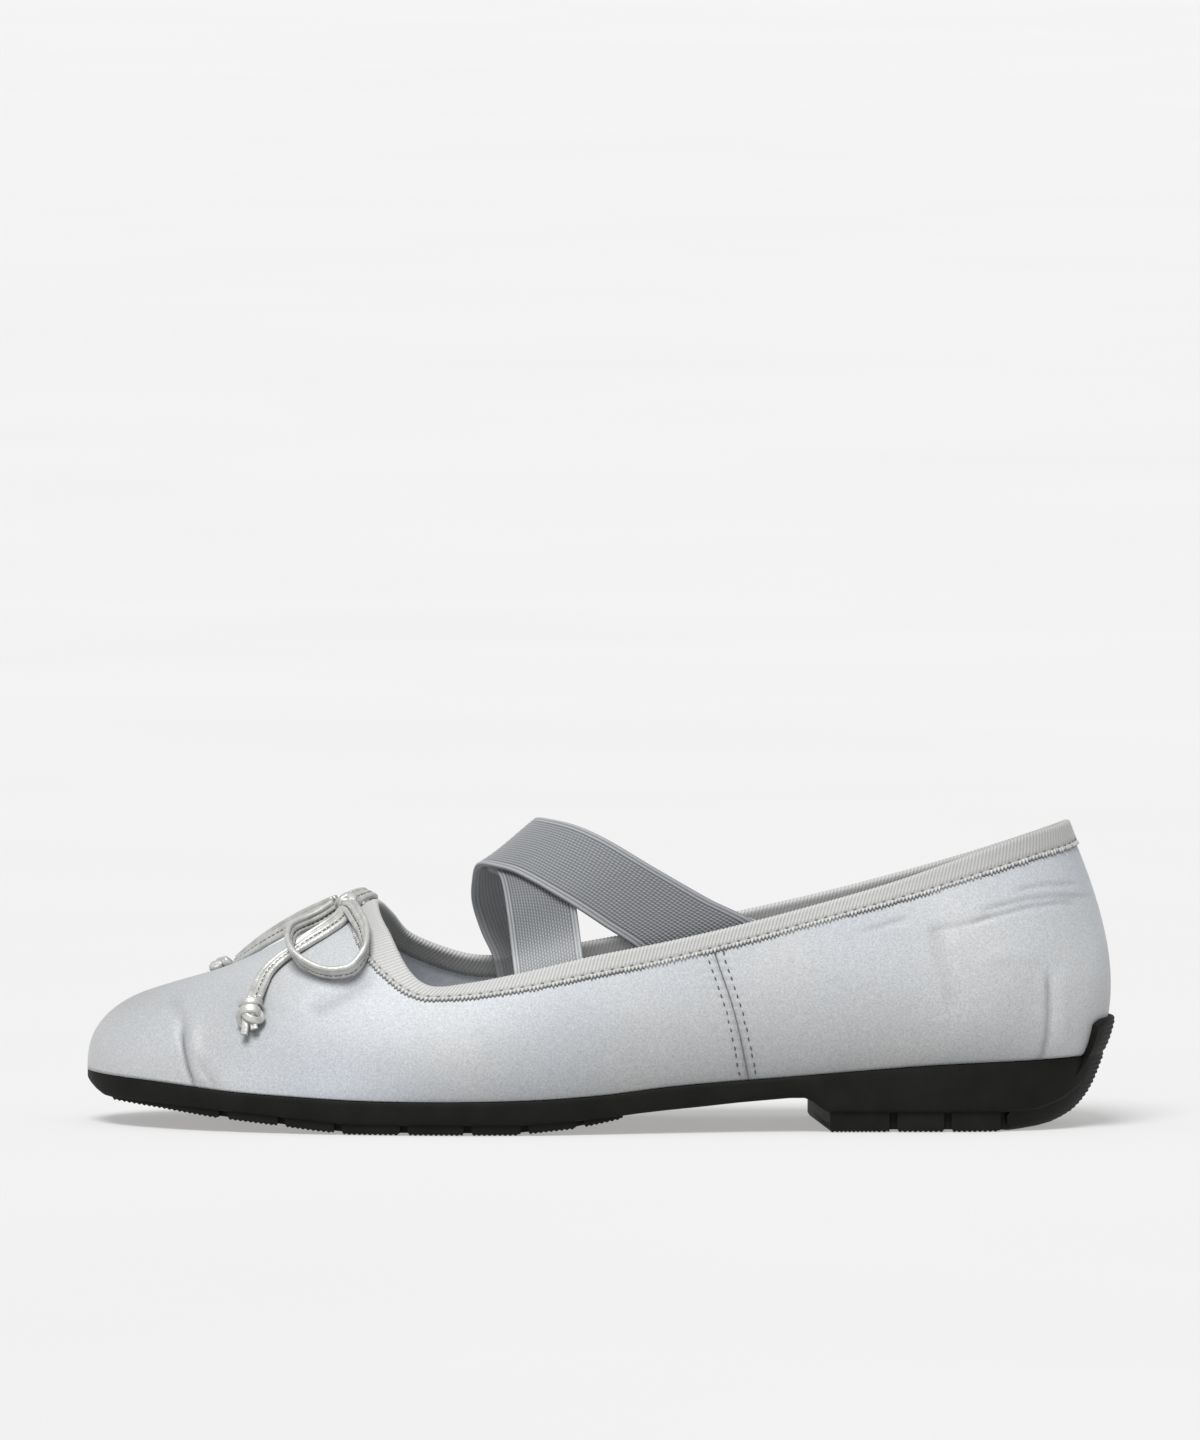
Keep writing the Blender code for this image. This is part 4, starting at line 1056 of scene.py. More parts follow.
def slow_waves(x, z):
    """Slow unevenness of the satin, about one high: two trains of waves that drift along the shoe."""
    crossing = np.sin(x * 0.11 + 1.3) * np.sin(z * 0.17 + x * 0.03 + 0.4)
    return crossing + 0.6 * np.sin(x * 0.23 - z * 0.19 + 2.1)


def relief(points):
    """Height of the satin's creases, seam and slow waves off the plain skin, and its tone of painted light
    and shade.
    """
    x, y, z = points[..., 0], points[..., 1], points[..., 2]
    lateral = y < ridge_y(x)
    side_view = np.stack([x, z], axis=-1)
    total = np.zeros(x.shape)
    # Painted shade of the troughs of the creases and of the seam.
    painted_fold_shade = np.zeros(x.shape)
    for side, height, width, line in CREASES:
        far, full = line_distance(side_view, line)
        fold = np.where(lateral == (side < 0), height * full * bell(far, width), 0.0)
        total += fold
        painted_fold_shade += fold * (1.0 if width < BROAD_FOLD else BROAD_FOLD_PAINTED_SHADE)

    off = (x - eased(SEAM, "x", z)) * SEAM_LEAN
    near = (x > SEAM_REACH[0]) & (x < SEAM_REACH[1])
    for height, place, width, shown in SEAM_SECTION:
        row = np.where(near, height * bell(np.abs(off) - place, width), 0.0)
        total += row
        painted_fold_shade += shown * row
    pucker = PUCKER_HEIGHT * np.cos(2 * math.pi * z / SEAM_STITCH) * bell(off, PUCKER_REACH)
    total += np.where(near, pucker, 0.0)

    # Painted shade of the lower walls, darkening the satin towards the feather edge.
    low = np.clip(1.0 - (z - last("feather", x)) / SHADE_RISE, 0.0, 1.0)
    shade = eased(SHADES, "share", x) * low
    # Plain tone, then the patches of painted light and painted shade.
    lit = np.full(x.shape, PLAIN_TONE)
    for side, patch_x, patch_z, reach_x, reach_z, share in PAINTED_LIGHT_PATCHES:
        far = ((x - patch_x) / reach_x) ** 2 + ((z - patch_z) / reach_z) ** 2
        lit += np.where(lateral | (side >= 0), share * np.exp(-far), 0.0)
    tone = lit * np.clip(1.0 + FOLD_PAINTED_SHADE * painted_fold_shade, 0.0, 1.0) - shade
    return total + WAVE_HEIGHT * slow_waves(x, z), tone


def wall_at(depth):
    """Thickness of the upper at a depth below its edge."""
    return WALL_AT_EDGE + (WALL - WALL_AT_EDGE) * np.clip(depth / EDGE_TAPER, 0.0, 1.0)


def build_upper(satin, lining):
    """Hollow shell of the upper: creased satin outside, lining inside, thinned towards its edge."""
    plain = skin(2 * np.arange(SKIN_COLUMNS) / SKIN_COLUMNS, np.linspace(0.0, 1.0, SKIN_ROWS))
    normals = skin_normals(plain)
    height, tone = relief(plain)
    foot_fade = np.clip(np.arange(SKIN_ROWS) / FOOT_FADE_ROWS, 0.0, 1.0)[None, :]
    outer = plain + normals * (height * foot_fade)[..., None]
    steps = np.linalg.norm(np.diff(plain, axis=1, append=plain[:, -1:]), axis=2)
    wall = wall_at(np.cumsum(steps[:, ::-1], axis=1)[:, ::-1])
    rows = np.linspace(0, SKIN_ROWS - 1, LINING_ROWS).astype(int)[::-1]
    inner = plain[:, rows] - normals[:, rows] * wall[:, rows][..., None]
    rings = np.concatenate([outer, inner], axis=1)
    count, ring = rings.shape[:2]
    faces = grid_faces(count, ring, wrap_count=True, wrap_ring=True)
    item = add_mesh("upper_satin", rings.reshape(-1, 3), faces, [satin, lining])
    inside = np.tile(np.arange(ring) >= SKIN_ROWS - 1, count).astype(np.int32)
    item.data.polygons.foreach_set("material_index", inside)
    run = lengths_of(np.concatenate([plain[:, SKIN_ROWS // 3], plain[:1, SKIN_ROWS // 3]]))[:-1]
    rise = np.cumsum(np.linalg.norm(np.diff(rings, axis=1, prepend=rings[:, :1]), axis=2), axis=1)
    set_uv(item, np.stack([np.repeat(run[:, None], ring, axis=1), rise], axis=-1).reshape(-1, 2))
    set_tone(item, np.concatenate([tone, np.ones(inner.shape[:2])], axis=1))
    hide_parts("upper")


def skin_point(x, z, side):
    """Places and outward directions on one side's skin nearest points of the side view."""
    around = 1 + side * np.linspace(1 - SEARCH_END, SEARCH_END, SEARCH_COLUMNS)
    points = skin(around, np.linspace(0.0, 1.0, SEARCH_ROWS))
    normals = -side * unit(np.cross(np.gradient(points, axis=0), np.gradient(points, axis=1)))
    found, facing = [], []
    for point_x, point_z in zip(x, z):
        far = (points[..., 0] - point_x) ** 2 + (points[..., 2] - point_z) ** 2
        i, j = np.unravel_index(np.argmin(far), far.shape)
        found.append(points[i, j])
        facing.append(normals[i, j])
    return np.array(found), np.array(facing)


def fitted(place, values, degree):
    """Values evened out along a place by a polynomial, column by column."""
    return np.column_stack([np.polyval(np.polyfit(place, column, degree), place) for column in values.T])


def build_seam(thread, closing_thread):
    """Butted side seam on each side: the closing thread in its groove and two rows of stitches."""
    centres, runs, rises, tubes = [], [], [], []
    for side in (-1, 1):
        z = np.arange(*SEAM_STITCHED, SEAM_STITCH * SEAM_UPRIGHT)
        for row in (-SEAM_OFFSET, SEAM_OFFSET):
            places, facing = skin_point(eased(SEAM, "x", z) + row / SEAM_LEAN, z, side)
            centres.append(places - facing * SEAM_STITCH_SUNK)
            runs.append(np.gradient(places, axis=0))
            rises.append(facing)
        z = np.linspace(*SEAM_CLOSED, SEAM_POINTS)
        places, facing = skin_point(eased(SEAM, "x", z), z, side)
        away = fitted(z, facing, SEAM_FACING_DEGREE)
        path = fitted(z, places, SEAM_PATH_DEGREE) - away * SEAM_THREAD_SUNK
        tubes.append((strand(path, SEAM_THREAD, away, False), False))
    stitches = capsules("seam_stitches", np.concatenate(centres), np.concatenate(runs), np.concatenate(rises),
                        SEAM_STITCH_SIZE, thread)
    closing = join_tubes("seam_thread", tubes, closing_thread)


def edge_frame(count):
    """Even columns round the opening: their skin points from the edge down."""
    dense = np.linspace(0.0, 2.0, EDGE_POINTS)
    lengths = lengths_of(top_at(dense))
    around = np.interp(np.arange(count) / count * lengths[-1], lengths, dense)
    return skin(around, np.linspace(1.0, TAPE_REACH, TAPE_ROWS))


def at_depth(columns, depths):
    """Points of each column at its own depth below the edge."""
    steps = np.linalg.norm(np.diff(columns, axis=1), axis=2)
    down = np.concatenate([np.zeros((len(columns), 1)), np.cumsum(steps, axis=1)], axis=1)
    depths = np.broadcast_to(depths, (len(columns),))
    row = np.arange(len(columns))
    i = np.clip((down <= depths[:, None]).sum(axis=1) - 1, 0, columns.shape[1] - 2)
    share = (depths - down[row, i]) / (down[row, i + 1] - down[row, i])
    return columns[row, i] + share[:, None] * (columns[row, i + 1] - columns[row, i])


def tape_width(place):
    """Width of the binding's outer face at places along the edge from the throat's middle."""
    lengths = lengths_of(TOP)
    lateral, total = lengths[TOP_BACK], lengths[-1]
    on_lateral = eased(TAPE_WIDTHS, "lateral", place / lateral)
    on_medial = eased(TAPE_WIDTHS, "medial", (total - place) / (total - lateral))
    return np.where(place < lateral, on_lateral, on_medial)


def build_binding(tape, thread):
    """Ribbed tape folded over the edge, with its picot selvedge and row of stitches."""
    length = lengths_of(TOP)[-1]
    ribs = int(round(length / RIB_PITCH))
    count = ribs * RIB_COLUMNS
    columns = edge_frame(count)
    width = tape_width(np.arange(count) / count * length)
    top = columns[:, 0]
    up = unit(top - at_depth(columns, EDGE_RUN))
    run = around_run(top)
    out = unit(np.cross(run, up))
    # Painted shade on the binding towards the top of the heel.
    light = straight(TAPE_PAINTED_SHADE, "share", top[:, 0])

    def crown(depth):
        """Ribs at a depth: one on their crowns, minus one between them."""
        return np.cos(2 * math.pi * (np.arange(count) / RIB_COLUMNS + RIB_SLANT * depth / RIB_PITCH))

    def ribbed(depth):
        """Lift of the ribbed face at a depth, and its tone with painted shade between the ribs."""
        lift = TAPE_LIFT + RIB_HEIGHT * crown(depth)[:, None]
        return lift, light * (RIB_TONE + RIB_PAINTED_SHADE * crown(depth))

    def away(depth):
        """Outward directions of the skin at a depth."""
        above = at_depth(columns, np.maximum(depth - FACING_ABOVE, 0.0))
        return unit(np.cross(run, unit(above - at_depth(columns, depth + FACING_BELOW))))

    def outside(depth, lift):
        """Places off the outer skin."""
        return at_depth(columns, depth) + away(depth) * lift

    def inside(depth, lift):
        """Places off the lining."""
        return at_depth(columns, depth) - away(depth) * (wall_at(depth) + lift)

    uneven = np.random.default_rng(PICOT_SEED).uniform(*PICOT_SIZES, ribs)
    picot = (0.5 + 0.5 * crown(width)) * np.repeat(uneven, RIB_COLUMNS)
    rows = []
    for follow, inward, lift, loop, lit, plain, shown in SELVEDGE_ROWS:
        depth = width + follow * PICOT_DEPTH * (picot - 0.5) - inward
        rows.append((outside(depth, (lift + loop * picot)[:, None]), lit * light + plain + shown * picot))
    for share in FACE_SHARES:
        depth = (width - SELVEDGE - FACE_FROM_SELVEDGE) * share
        lift, tone = ribbed(depth)
        rows.append((outside(depth, lift), tone))
    middle = top - out * (WALL_AT_EDGE / 2)
    for turn in np.radians(FOLD_TURNS):
        lift, tone = ribbed(-FOLD_RUN * turn / math.pi)
        fold = out * (WALL_AT_EDGE / 2 + lift) * math.cos(turn) + up * (FOLD_RISE + lift) * math.sin(turn)
        rows.append((middle + fold, tone))
    # Inner face, darkened by painted shade.
    for depth in INNER_DEPTHS:
        lift, tone = ribbed(-FOLD_RUN - depth)
        rows.append((inside(depth, lift), INNER_PAINTED_SHADE * tone))
    for down, lift, lit, plain, shown in INNER_SELVEDGE_ROWS:
        rows.append((inside(TAPE_INNER + down, lift), lit * light + plain + shown * picot))
    rings = np.stack([points for points, _ in rows], axis=1)
    faces = grid_faces(count, rings.shape[1], wrap_count=True)
    item = add_mesh("binding_tape", rings.reshape(-1, 3), faces, [tape])
    set_tone(item, np.stack([tone for _, tone in rows], axis=1))
    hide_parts("topline_binding")

    number = int(round(length / TAPE_STITCH))
    every = np.arange(number) * count // number
    row = outside(width - SELVEDGE, TAPE_LIFT - TAPE_STITCH_SUNK)
    facing = away(width - SELVEDGE)
    stitches = capsules("binding_stitches", row[every], run[every], facing[every], TAPE_STITCH_SIZE, thread)


def edge_height(edge, x):
    """Height of one side of the opening's edge at x, behind the throat."""
    first = int(np.argmax(edge[:, 0] > STRAP_SIDE_X))
    return np.interp(x, edge[first:, 0], edge[first:, 2])


def strap_place(x, angle):
    """Place of a strap over the instep at x and an angle from the ridge."""
    side = np.where(angle < 0, -1.0, 1.0)
    edge_z = np.where(angle < 0, edge_height(TOP_LATERAL, x), edge_height(TOP_MEDIAL, x))
    over = np.radians(np.minimum(np.abs(angle), STRAP_LEVEL))
    low_z = edge_z - np.maximum(np.abs(angle) - STRAP_LEVEL, 0.0) * STRAP_DROP
    z = low_z + (last("feather", x) + last("rise", x) - edge_z) * np.cos(over)
    wall = wall_y(x, low_z, side) - side * STRAP_FROM_WALL
    return np.stack([x, ridge_y(x) + (wall - ridge_y(x)) * np.sin(over), z], axis=-1)


def strap_sheet(rows, angle, across):
    """Middle surface of a strap, its upward directions, and the angle at each of its points."""
    front = eased(rows, "front", angle)
    rear = eased(rows, "rear", angle)
    x = front[:, None] + (rear - front)[:, None] * across[None, :]
    turned = np.repeat(angle[:, None], len(across), axis=1)
    points = strap_place(x, turned)
    normal = unit(np.cross(np.gradient(points, axis=1), np.gradient(points, axis=0)))
    middle = normal[len(angle) // 2, len(across) // 2]
    return points, normal * np.sign(middle[2]), turned


def build_strap(name, rows, lit_rows, lift, node, elastic):
    """Woven elastic: staggered bumps between two corded edges, on both faces."""
    rough_angle = np.linspace(-STRAP_END, STRAP_END, ROUGH_STRAP_POINTS)
    lengths = lengths_of(strap_sheet(rows, rough_angle, np.array(STRAP_MIDDLE))[0][:, 1])
    count = int(round(lengths[-1] / WEAVE_LONG)) * WEAVE_STEPS + 1
    angle = np.interp(np.linspace(0.0, lengths[-1], count), lengths, rough_angle)
    ribs = int(round((STRAP_WIDTH - 2 * STRAP_EDGE) / WEAVE_WIDE))
    field = np.linspace(STRAP_EDGE, STRAP_WIDTH - STRAP_EDGE, ribs * WEAVE_COLUMNS + 1)
    border = np.array(STRAP_BORDER)
    place = np.concatenate([border, field, STRAP_WIDTH - border[::-1]])
    points, normal, turned = strap_sheet(rows, angle, place / STRAP_WIDTH)
    fade = np.clip((STRAP_LEVEL - np.abs(turned)) / STRAP_EASE, 0.0, 1.0)
    points = points + normal * (fade * lift)[..., None]

    rib = (place[None, :] - STRAP_EDGE) / (field[-1] - field[0]) * ribs
    within = ((place >= STRAP_EDGE) & (place <= STRAP_WIDTH - STRAP_EDGE))[None, :]
    stagger = np.mod(np.floor(np.clip(rib, 0, ribs - 0.001)), 2) * 0.5
    wave = 0.5 + 0.5 * np.cos(2 * math.pi * (np.arange(count)[:, None] / WEAVE_STEPS + stagger))
    crown = np.sin(math.pi * np.mod(rib, 1.0))
    bumps = np.where(within, crown * (WEAVE_FLOOR + (1 - WEAVE_FLOOR) * wave), 0.0)
    from_edge = np.minimum(place, STRAP_WIDTH - place)
    cord = sum(height * bell(from_edge - at, wide) for height, at, wide in STRAP_CORDS)[None, :]
    thin = np.clip(from_edge / STRAP_THIN, 0.0, 1.0) ** 0.5
    body = ((STRAP_THICK / 2 - STRAP_TRIM) * thin)[None, :]
    top = points + normal * (body + WEAVE_HEIGHT * bumps + CORD_HEIGHT * cord)[..., None]
    under = points - normal * (body + WEAVE_UNDER * WEAVE_HEIGHT * bumps + CORD_UNDER * cord)[..., None]
    edge, wide = len(border), len(place)
    sparse = np.r_[1:edge, edge:wide - edge:2, wide - edge:wide - 1][::-1]
    item = join_tubes(name, [(np.concatenate([top, under[:, sparse]], axis=1), False)], elastic)

    # Painted shade in the weave's hollows and beside the cords, with painted light and shade by angle.
    shade = np.where(within, bumps, CORD_TONE * cord - CORD_DARK)
    lit = eased(lit_rows, "share", angle)[:, None]
    over = STRAP_TONE * shade * (1 + LIT_RELIEF * lit) + LIT_TONE * lit
    set_tone(item, np.concatenate([over, UNDER_TONE * (1 + shade[:, sparse])], axis=1))
    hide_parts(node)


def vamp_normal(x, y, step=0.25):
    """Outward direction of the last's skin over a plan point."""
    slope_x = (last_height(x + step, y) - last_height(x - step, y)) / (2 * step)
    slope_y = (last_height(x, y + step) - last_height(x, y - step)) / (2 * step)
    return unit(np.stack([-slope_x, -slope_y, np.ones_like(slope_x)], axis=-1))


def on_vamp(x, y, lift):
    """Place at a height off the vamp."""
    return np.stack([x, y, last_height(x, y)], axis=-1) + vamp_normal(x, y) * lift[..., None]


def lace_frame(rows, steps):
    """Centre line of a lace with its run, width and thin directions."""
    shares = shares_of(np.column_stack([rows["x"], rows["y"]]))
    share = np.linspace(0.0, 1.0, steps)
    x, y, lift, stand = (smooth(share, shares, rows[name]) for name in ("x", "y", "lift", "stand"))
    centre = on_vamp(x, y, lift)
    run = unit(np.gradient(centre, axis=0))
    flat = unit(np.cross(run, vamp_normal(x, y)))
    rise = unit(np.cross(flat, run))
    turn = stand[:, None] * math.pi / 2
    wide = flat * np.cos(turn) + rise * np.sin(turn)
    return centre, run, wide, unit(np.cross(run, wide))


def lace_section():
    """Folded lace in section: a beaded edge, a plain edge and a groove for the stitches."""
    half = np.array(LACE_SECTION)
    return np.concatenate([half, half[-2:0:-1] * [1.0, -1.0]]).T


def build_lace(name, rows, node, leather, thread):
    """One length of the bow's lace with its stitches."""
    length = lengths_of(lace_frame(rows, ROUGH_LACE_POINTS)[0])[-1]
    steps = int(length / LACE_STEP)
    centre, run, wide, thin = lace_frame(rows, steps)
    item = join_tubes(name, [(swept(centre, wide, thin, *lace_section()), False)], leather)
    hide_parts(node)

    number = int((length - LACE_BARE) / LACE_STITCH)
    every = np.linspace(LACE_BARE_STEPS, steps - 1 - LACE_BARE_STEPS, number).astype(int)
    groove = centre[every] + wide[every] * LACE_GROOVE
    faces = np.concatenate([thin[every], -thin[every]])
    centres = np.concatenate([groove, groove]) + faces * LACE_GROOVE_DEEP
    runs = np.concatenate([run[every], run[every]])
    stitches = capsules(name + "_stitches", centres, runs, faces, LACE_STITCH_SIZE, thread)


def knot_frame(knot):
    """Centre of a knot on the vamp, and its directions along, across and off the vamp."""
    x, y = np.array([knot["x"]]), np.array([knot["y"]])
    centre = on_vamp(x, y, np.array([knot["lift"]]))[0]
    rise = vamp_normal(x, y)[0]
    wide = unit(np.cross(rise, np.array([*knot["ahead"], 0.0])))
    return centre, unit(np.cross(wide, rise)), wide, rise


def strand(path, size, face, closed):
    """Rings of a soft strand along a path, its flat side turned towards a direction."""
    width, thick = size
    run = around_run(path) if closed else unit(np.gradient(path, axis=0))
    side = unit(np.cross(run, face))
    turn = circle(STRAND_SIDES)
    across = np.sign(np.cos(turn)) * np.abs(np.cos(turn)) ** STRAND_POWER * width / 2
    deep = np.sign(np.sin(turn)) * np.abs(np.sin(turn)) ** STRAND_POWER * thick / 2
    deep = deep * (1 - STRAND_DENT * bell(across / width * 2 - STRAND_DENT_AT, STRAND_DENT_WIDE))
    return swept(path, side, unit(np.cross(side, run)), across, deep)


def tied_strand(centre, axes, half, size, dome):
    """Strand tied on itself in an overhand knot and drawn tight, its rim bent down."""
    run, wide, rise = axes
    turn = circle(TIE_POINTS)
    ahead = (np.cos(turn) - 2 * np.cos(2 * turn)) / TIE_SPAN[0]
    aside = (np.sin(turn) + 2 * np.sin(2 * turn)) / TIE_SPAN[1]
    height = -half[2] * np.sin(3 * turn) - dome * (ahead * ahead + aside * aside)
    flat = np.outer(ahead * half[0], run) + np.outer(aside * half[1], wide)
    lean = rise + TIE_LEAN * (np.outer(ahead, run) + np.outer(aside, wide))
    return strand(centre + flat + np.outer(height, rise), size, lean, True), True


def build_end_knot(name, knot, node, leather):
    """Overhand knot in a lace end, with turns round the lace above it and the two cut ends below."""
    centre, run, wide, rise = knot_frame(knot)
    long, broad, deep = knot["half"]
    turn = circle(COLLAR_POINTS)
    tubes = []
    for place, lean, inset, size in COLLARS:
        around = oval(turn, wide * (broad - inset), rise * (deep - inset))
        path = centre + around + np.outer(place * long + lean * np.sin(turn), run)
        tubes.append((strand(path, size, around, True), True))
    half = (END_TIE_LONG * long, broad - END_TIE_INSET, END_TIE_WEAVE)
    middle = centre + rise * TIE_LIFT - run * END_TIE_BACK
    tubes.append(tied_strand(middle, (run, wide, rise), half, END_TIE, deep - END_TIE_DOME))
    share = np.linspace(0.0, 1.0, END_POINTS)[:, None]
    for across, splay, reach in CUT_ENDS:
        path = centre + run * long * (END_CUT_START + reach * share)
        path = path + wide * (across + splay * share ** 2) + rise * (END_CUT_START - share)
        tubes.append((strand(path, END_CUT, rise, False), False))
    item = join_tubes(name, tubes, leather)
    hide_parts(node)
    return item


def build_bow_knot(leather):
    """Middle of the bow: the lace tied over the crossing, on the strands that pass through it."""
    centre, run, wide, rise = knot_frame(BOW_KNOT)
    long, broad, deep = BOW_KNOT["half"]
    turn = circle(WRAP_POINTS)
    outward = oval(turn, run * (long - BOW_WRAP_INSETS[0]), rise * (deep - BOW_WRAP_INSETS[1]))
    wrap = centre + outward + np.outer(BOW_WRAP_LEAN * np.cos(turn), wide)
    half = (broad - BOW_TIE_INSETS[0], long - BOW_TIE_INSETS[1], BOW_TIE_WEAVE)
    tubes = [
        (strand(wrap, BOW_WRAP, outward, True), True),
        tied_strand(centre + rise * TIE_LIFT, (wide, run, rise), half, BOW_TIE, deep - BOW_TIE_DOME),
    ]
    share = np.linspace(-1.0, 1.0, END_POINTS)[:, None]
    for across in (-BOW_THROUGH_AT, BOW_THROUGH_AT):
        path = centre + run * across + wide * BOW_THROUGH_REACH * share - rise * BOW_THROUGH_DROP * share ** 2
        tubes.append((strand(path, BOW_THROUGH, rise, False), False))
    item = join_tubes("bow_wrap", tubes, leather)
    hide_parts("bow_knot")
    return item


def slab_rings(x, lateral, medial, top, bottom, edge_round, slant, belly=0.0):
    """Sections of a slab lying across the shoe, with rounded lower edges and a full side."""
    width = medial - lateral
    thick = top - bottom
    radius = np.minimum(np.minimum(edge_round, ROUND_OF_THICK * thick), ROUND_OF_WIDTH * width)
    y, z = [], []
    for share, lip in SLAB_SIDE:
        out = belly * np.sin(math.pi * share) * np.minimum(1.0, width / BELLY_FROM_WIDTH)
        y.append(lateral - out - lip)
        z.append(top - share * (thick - radius))
    for angle in quarter(CORNER_POINTS):
        y.append(lateral + radius * (1 - np.cos(angle)))
        z.append(bottom + radius * (1 - np.sin(angle)))
    far_y = [medial - (place - lateral) for place in y]
    y = np.stack(y + [lateral + width * 0.5] + far_y[::-1], axis=1)
    z = np.stack(z + [bottom] + z[::-1], axis=1)
    return np.stack([x[:, None] + slant[:, None] * y, y, z], axis=-1)


def saw(x):
    """Fine rib of the tread along x, nought to one."""
    return np.abs(2 * np.mod(x / SERRATION_PITCH, 1.0) - 1)


def tread_floor(x):
    """Height of the lugs' underside, and of their tops inside the body."""
    if x[0] > BREAST["x"][1]:
        return np.zeros_like(x), np.full_like(x, HEEL_STEP + LUG_BURIED)
    return straight(TREAD, "bottom", x), straight(BODY, "bottom", x) + LUG_BURIED


def tread_rings(x, inset, raised, edge_round):
    """Sections of a block of the tread, set in from the edge and raised off its floor."""
    floor, roof = tread_floor(x)
    lateral = feather_y(x, -1.0) + inset
    medial = feather_y(x, 1.0) - inset
    return slab_rings(x, lateral, medial, roof, floor + raised, edge_round, straight(BREAST, "slant", x))


def lug_rings(front, back):
    """Sections of one lug, its underside cut in fine ribs."""
    x = np.arange(front, back + 0.01, SERRATION_STEP)
    ease = LUG_END_EASE * np.clip(1 - np.minimum(x - front, back - x) / LUG_END_RUN, 0.0, 1.0) ** 2
    return tread_rings(x, LUG_INSET, SERRATION_DEPTH * saw(x - front) + ease, LUG_EDGE_ROUND)


def web_rings(front, back):
    """Sections of the set-back web that closes the notch between two lugs."""
    x = np.linspace(front - WEB_OVERLAP, back + WEB_OVERLAP, WEB_POINTS)
    return tread_rings(x, LUG_INSET + WEB_INSET, WEB_RISE, WEB_EDGE_ROUND)


def body_rings():
    """Sections of the sole's body from toe to heel, with the breast set aslant."""
    turn = quarter(BODY_POINTS)
    x = np.concatenate([
        BODY_FRONT + BODY_TOE * (1 - np.cos(turn)),
        np.arange(BODY_TOE + 1, BREAST_SPAN[0], BODY_STEP),
        np.linspace(*BREAST_SPAN, BODY_POINTS),
        np.arange(BREAST_SPAN[1] + 1, BODY_HEEL, BODY_STEP),
        BODY_HEEL + BODY_HEEL_RUN * np.sin(turn),
    ])
    lateral = feather_y(x, -1.0, SOLE_LEDGE, HEEL_BACK + SOLE_LEDGE)
    medial = feather_y(x, 1.0, SOLE_LEDGE, HEEL_BACK + SOLE_LEDGE)
    feather, bottom = last("feather", x), straight(BODY, "bottom", x)
    rings = slab_rings(x, lateral, medial, feather - GAP + BODY_RISE, bottom, SOLE_EDGE_ROUND,
                       np.zeros(len(x)), BODY_BELLY)
    thick = np.maximum(feather - bottom, 1.0)[:, None]
    low = np.clip((feather[:, None] - rings[..., 2]) / thick * BREAST_BLEND - BREAST_FROM, 0.0, 1.0)
    rings[..., 0] += straight(BREAST, "slant", x)[:, None] * rings[..., 1] * low
    return rings


def heel_band(share):
    """Levels of the band that rolls up the back of the heel, ribbed across, and the length they travel."""
    lengths = lengths_of(np.column_stack([REAR["back"], REAR["z"]]))
    rings = []
    for travel in np.arange(0.0, lengths[-1], SERRATION_STEP):
        level = np.interp(travel, lengths, REAR["z"])
        back = np.interp(travel, lengths, REAR["back"])
        front = straight(REAR, "front", level)
        wide = straight(REAR, "half_width", level)
        angle = share * math.acos(((front - HEEL_X) / (back - HEEL_X)) ** (HEEL_POWER / 2))
        from_back = (back - HEEL_X) * (1 - np.cos(angle) ** (2 / HEEL_POWER))
        ribbed = np.clip((BAND_RIBBED - from_back) / BAND_FADE, 0.0, 1.0)
        bite = SERRATION_DEPTH * saw(travel) * min(1.0, travel / BAND_START) * ribbed
        arcs = []
        for inward in (bite, np.full(len(share), BAND_DEEP)):
            x = HEEL_X + (back - inward - HEEL_X) * np.cos(angle) ** (2 / HEEL_POWER)
            y = (wide - inward) * np.abs(np.sin(angle)) ** (2 / HEEL_POWER) * np.sign(angle)
            arcs.append(np.column_stack([x, last("centre", HEEL_BACK) + y, np.full(len(x), level)]))
        rings.append(np.concatenate([arcs[0], arcs[1][::-1]]))
    return rings, lengths[-1]


def heel_tab(share, travelled):
    """Levels of the tab that ends the band, its ribs going on from those below."""
    around = 1 + share * TAB_HALF_SHARE
    points = skin(around, np.linspace(0.0, TAB_REACH, TAB_ROWS))
    side = np.column_stack([outward_at(around), np.zeros(len(around))])
    low = REAR["z"][-1]
    high = points[len(share) // 2, 0, 2] + TAB_HEIGHT
    corner = 1 - TAB_CORNER * np.abs(share) ** TAB_CORNER_POWER
    plain_ends = np.clip((TAB_RIBBED - np.abs(share)) / TAB_RIB_FADE, 0.0, 1.0)
    rings = []
    for level in np.append(np.arange(low + TAB_START, high, SERRATION_STEP), high):
        upward = (level - low) / (high - low)
        z = low + (level - low) * corner
        base = np.array([along(np.array([h]), column[:, 2], column)[0] for h, column in zip(z, points)])
        cap = math.sqrt(max(0.0, 1 - (max(upward - (1 - TAB_CAP), 0.0) / TAB_CAP) ** 2))
        bite = SERRATION_DEPTH * saw(travelled + level - low) * plain_ends * cap
        thick = (TAB_THICK + TAB_FULLER) * (TAB_TOP_THICK + (1 - TAB_TOP_THICK) * cap) - bite
        outer = base + side * (GAP + thick)[:, None]
        rings.append(np.concatenate([outer, (base + side * GAP * 0.5)[::-1]]))
    return rings


def rear_rings():
    """Sections of the heel's band and of its tab as one tube."""
    share = np.linspace(-1.0, 1.0, BAND_COLUMNS)
    band, travelled = heel_band(share)
    return np.array(band + heel_tab(share, travelled))


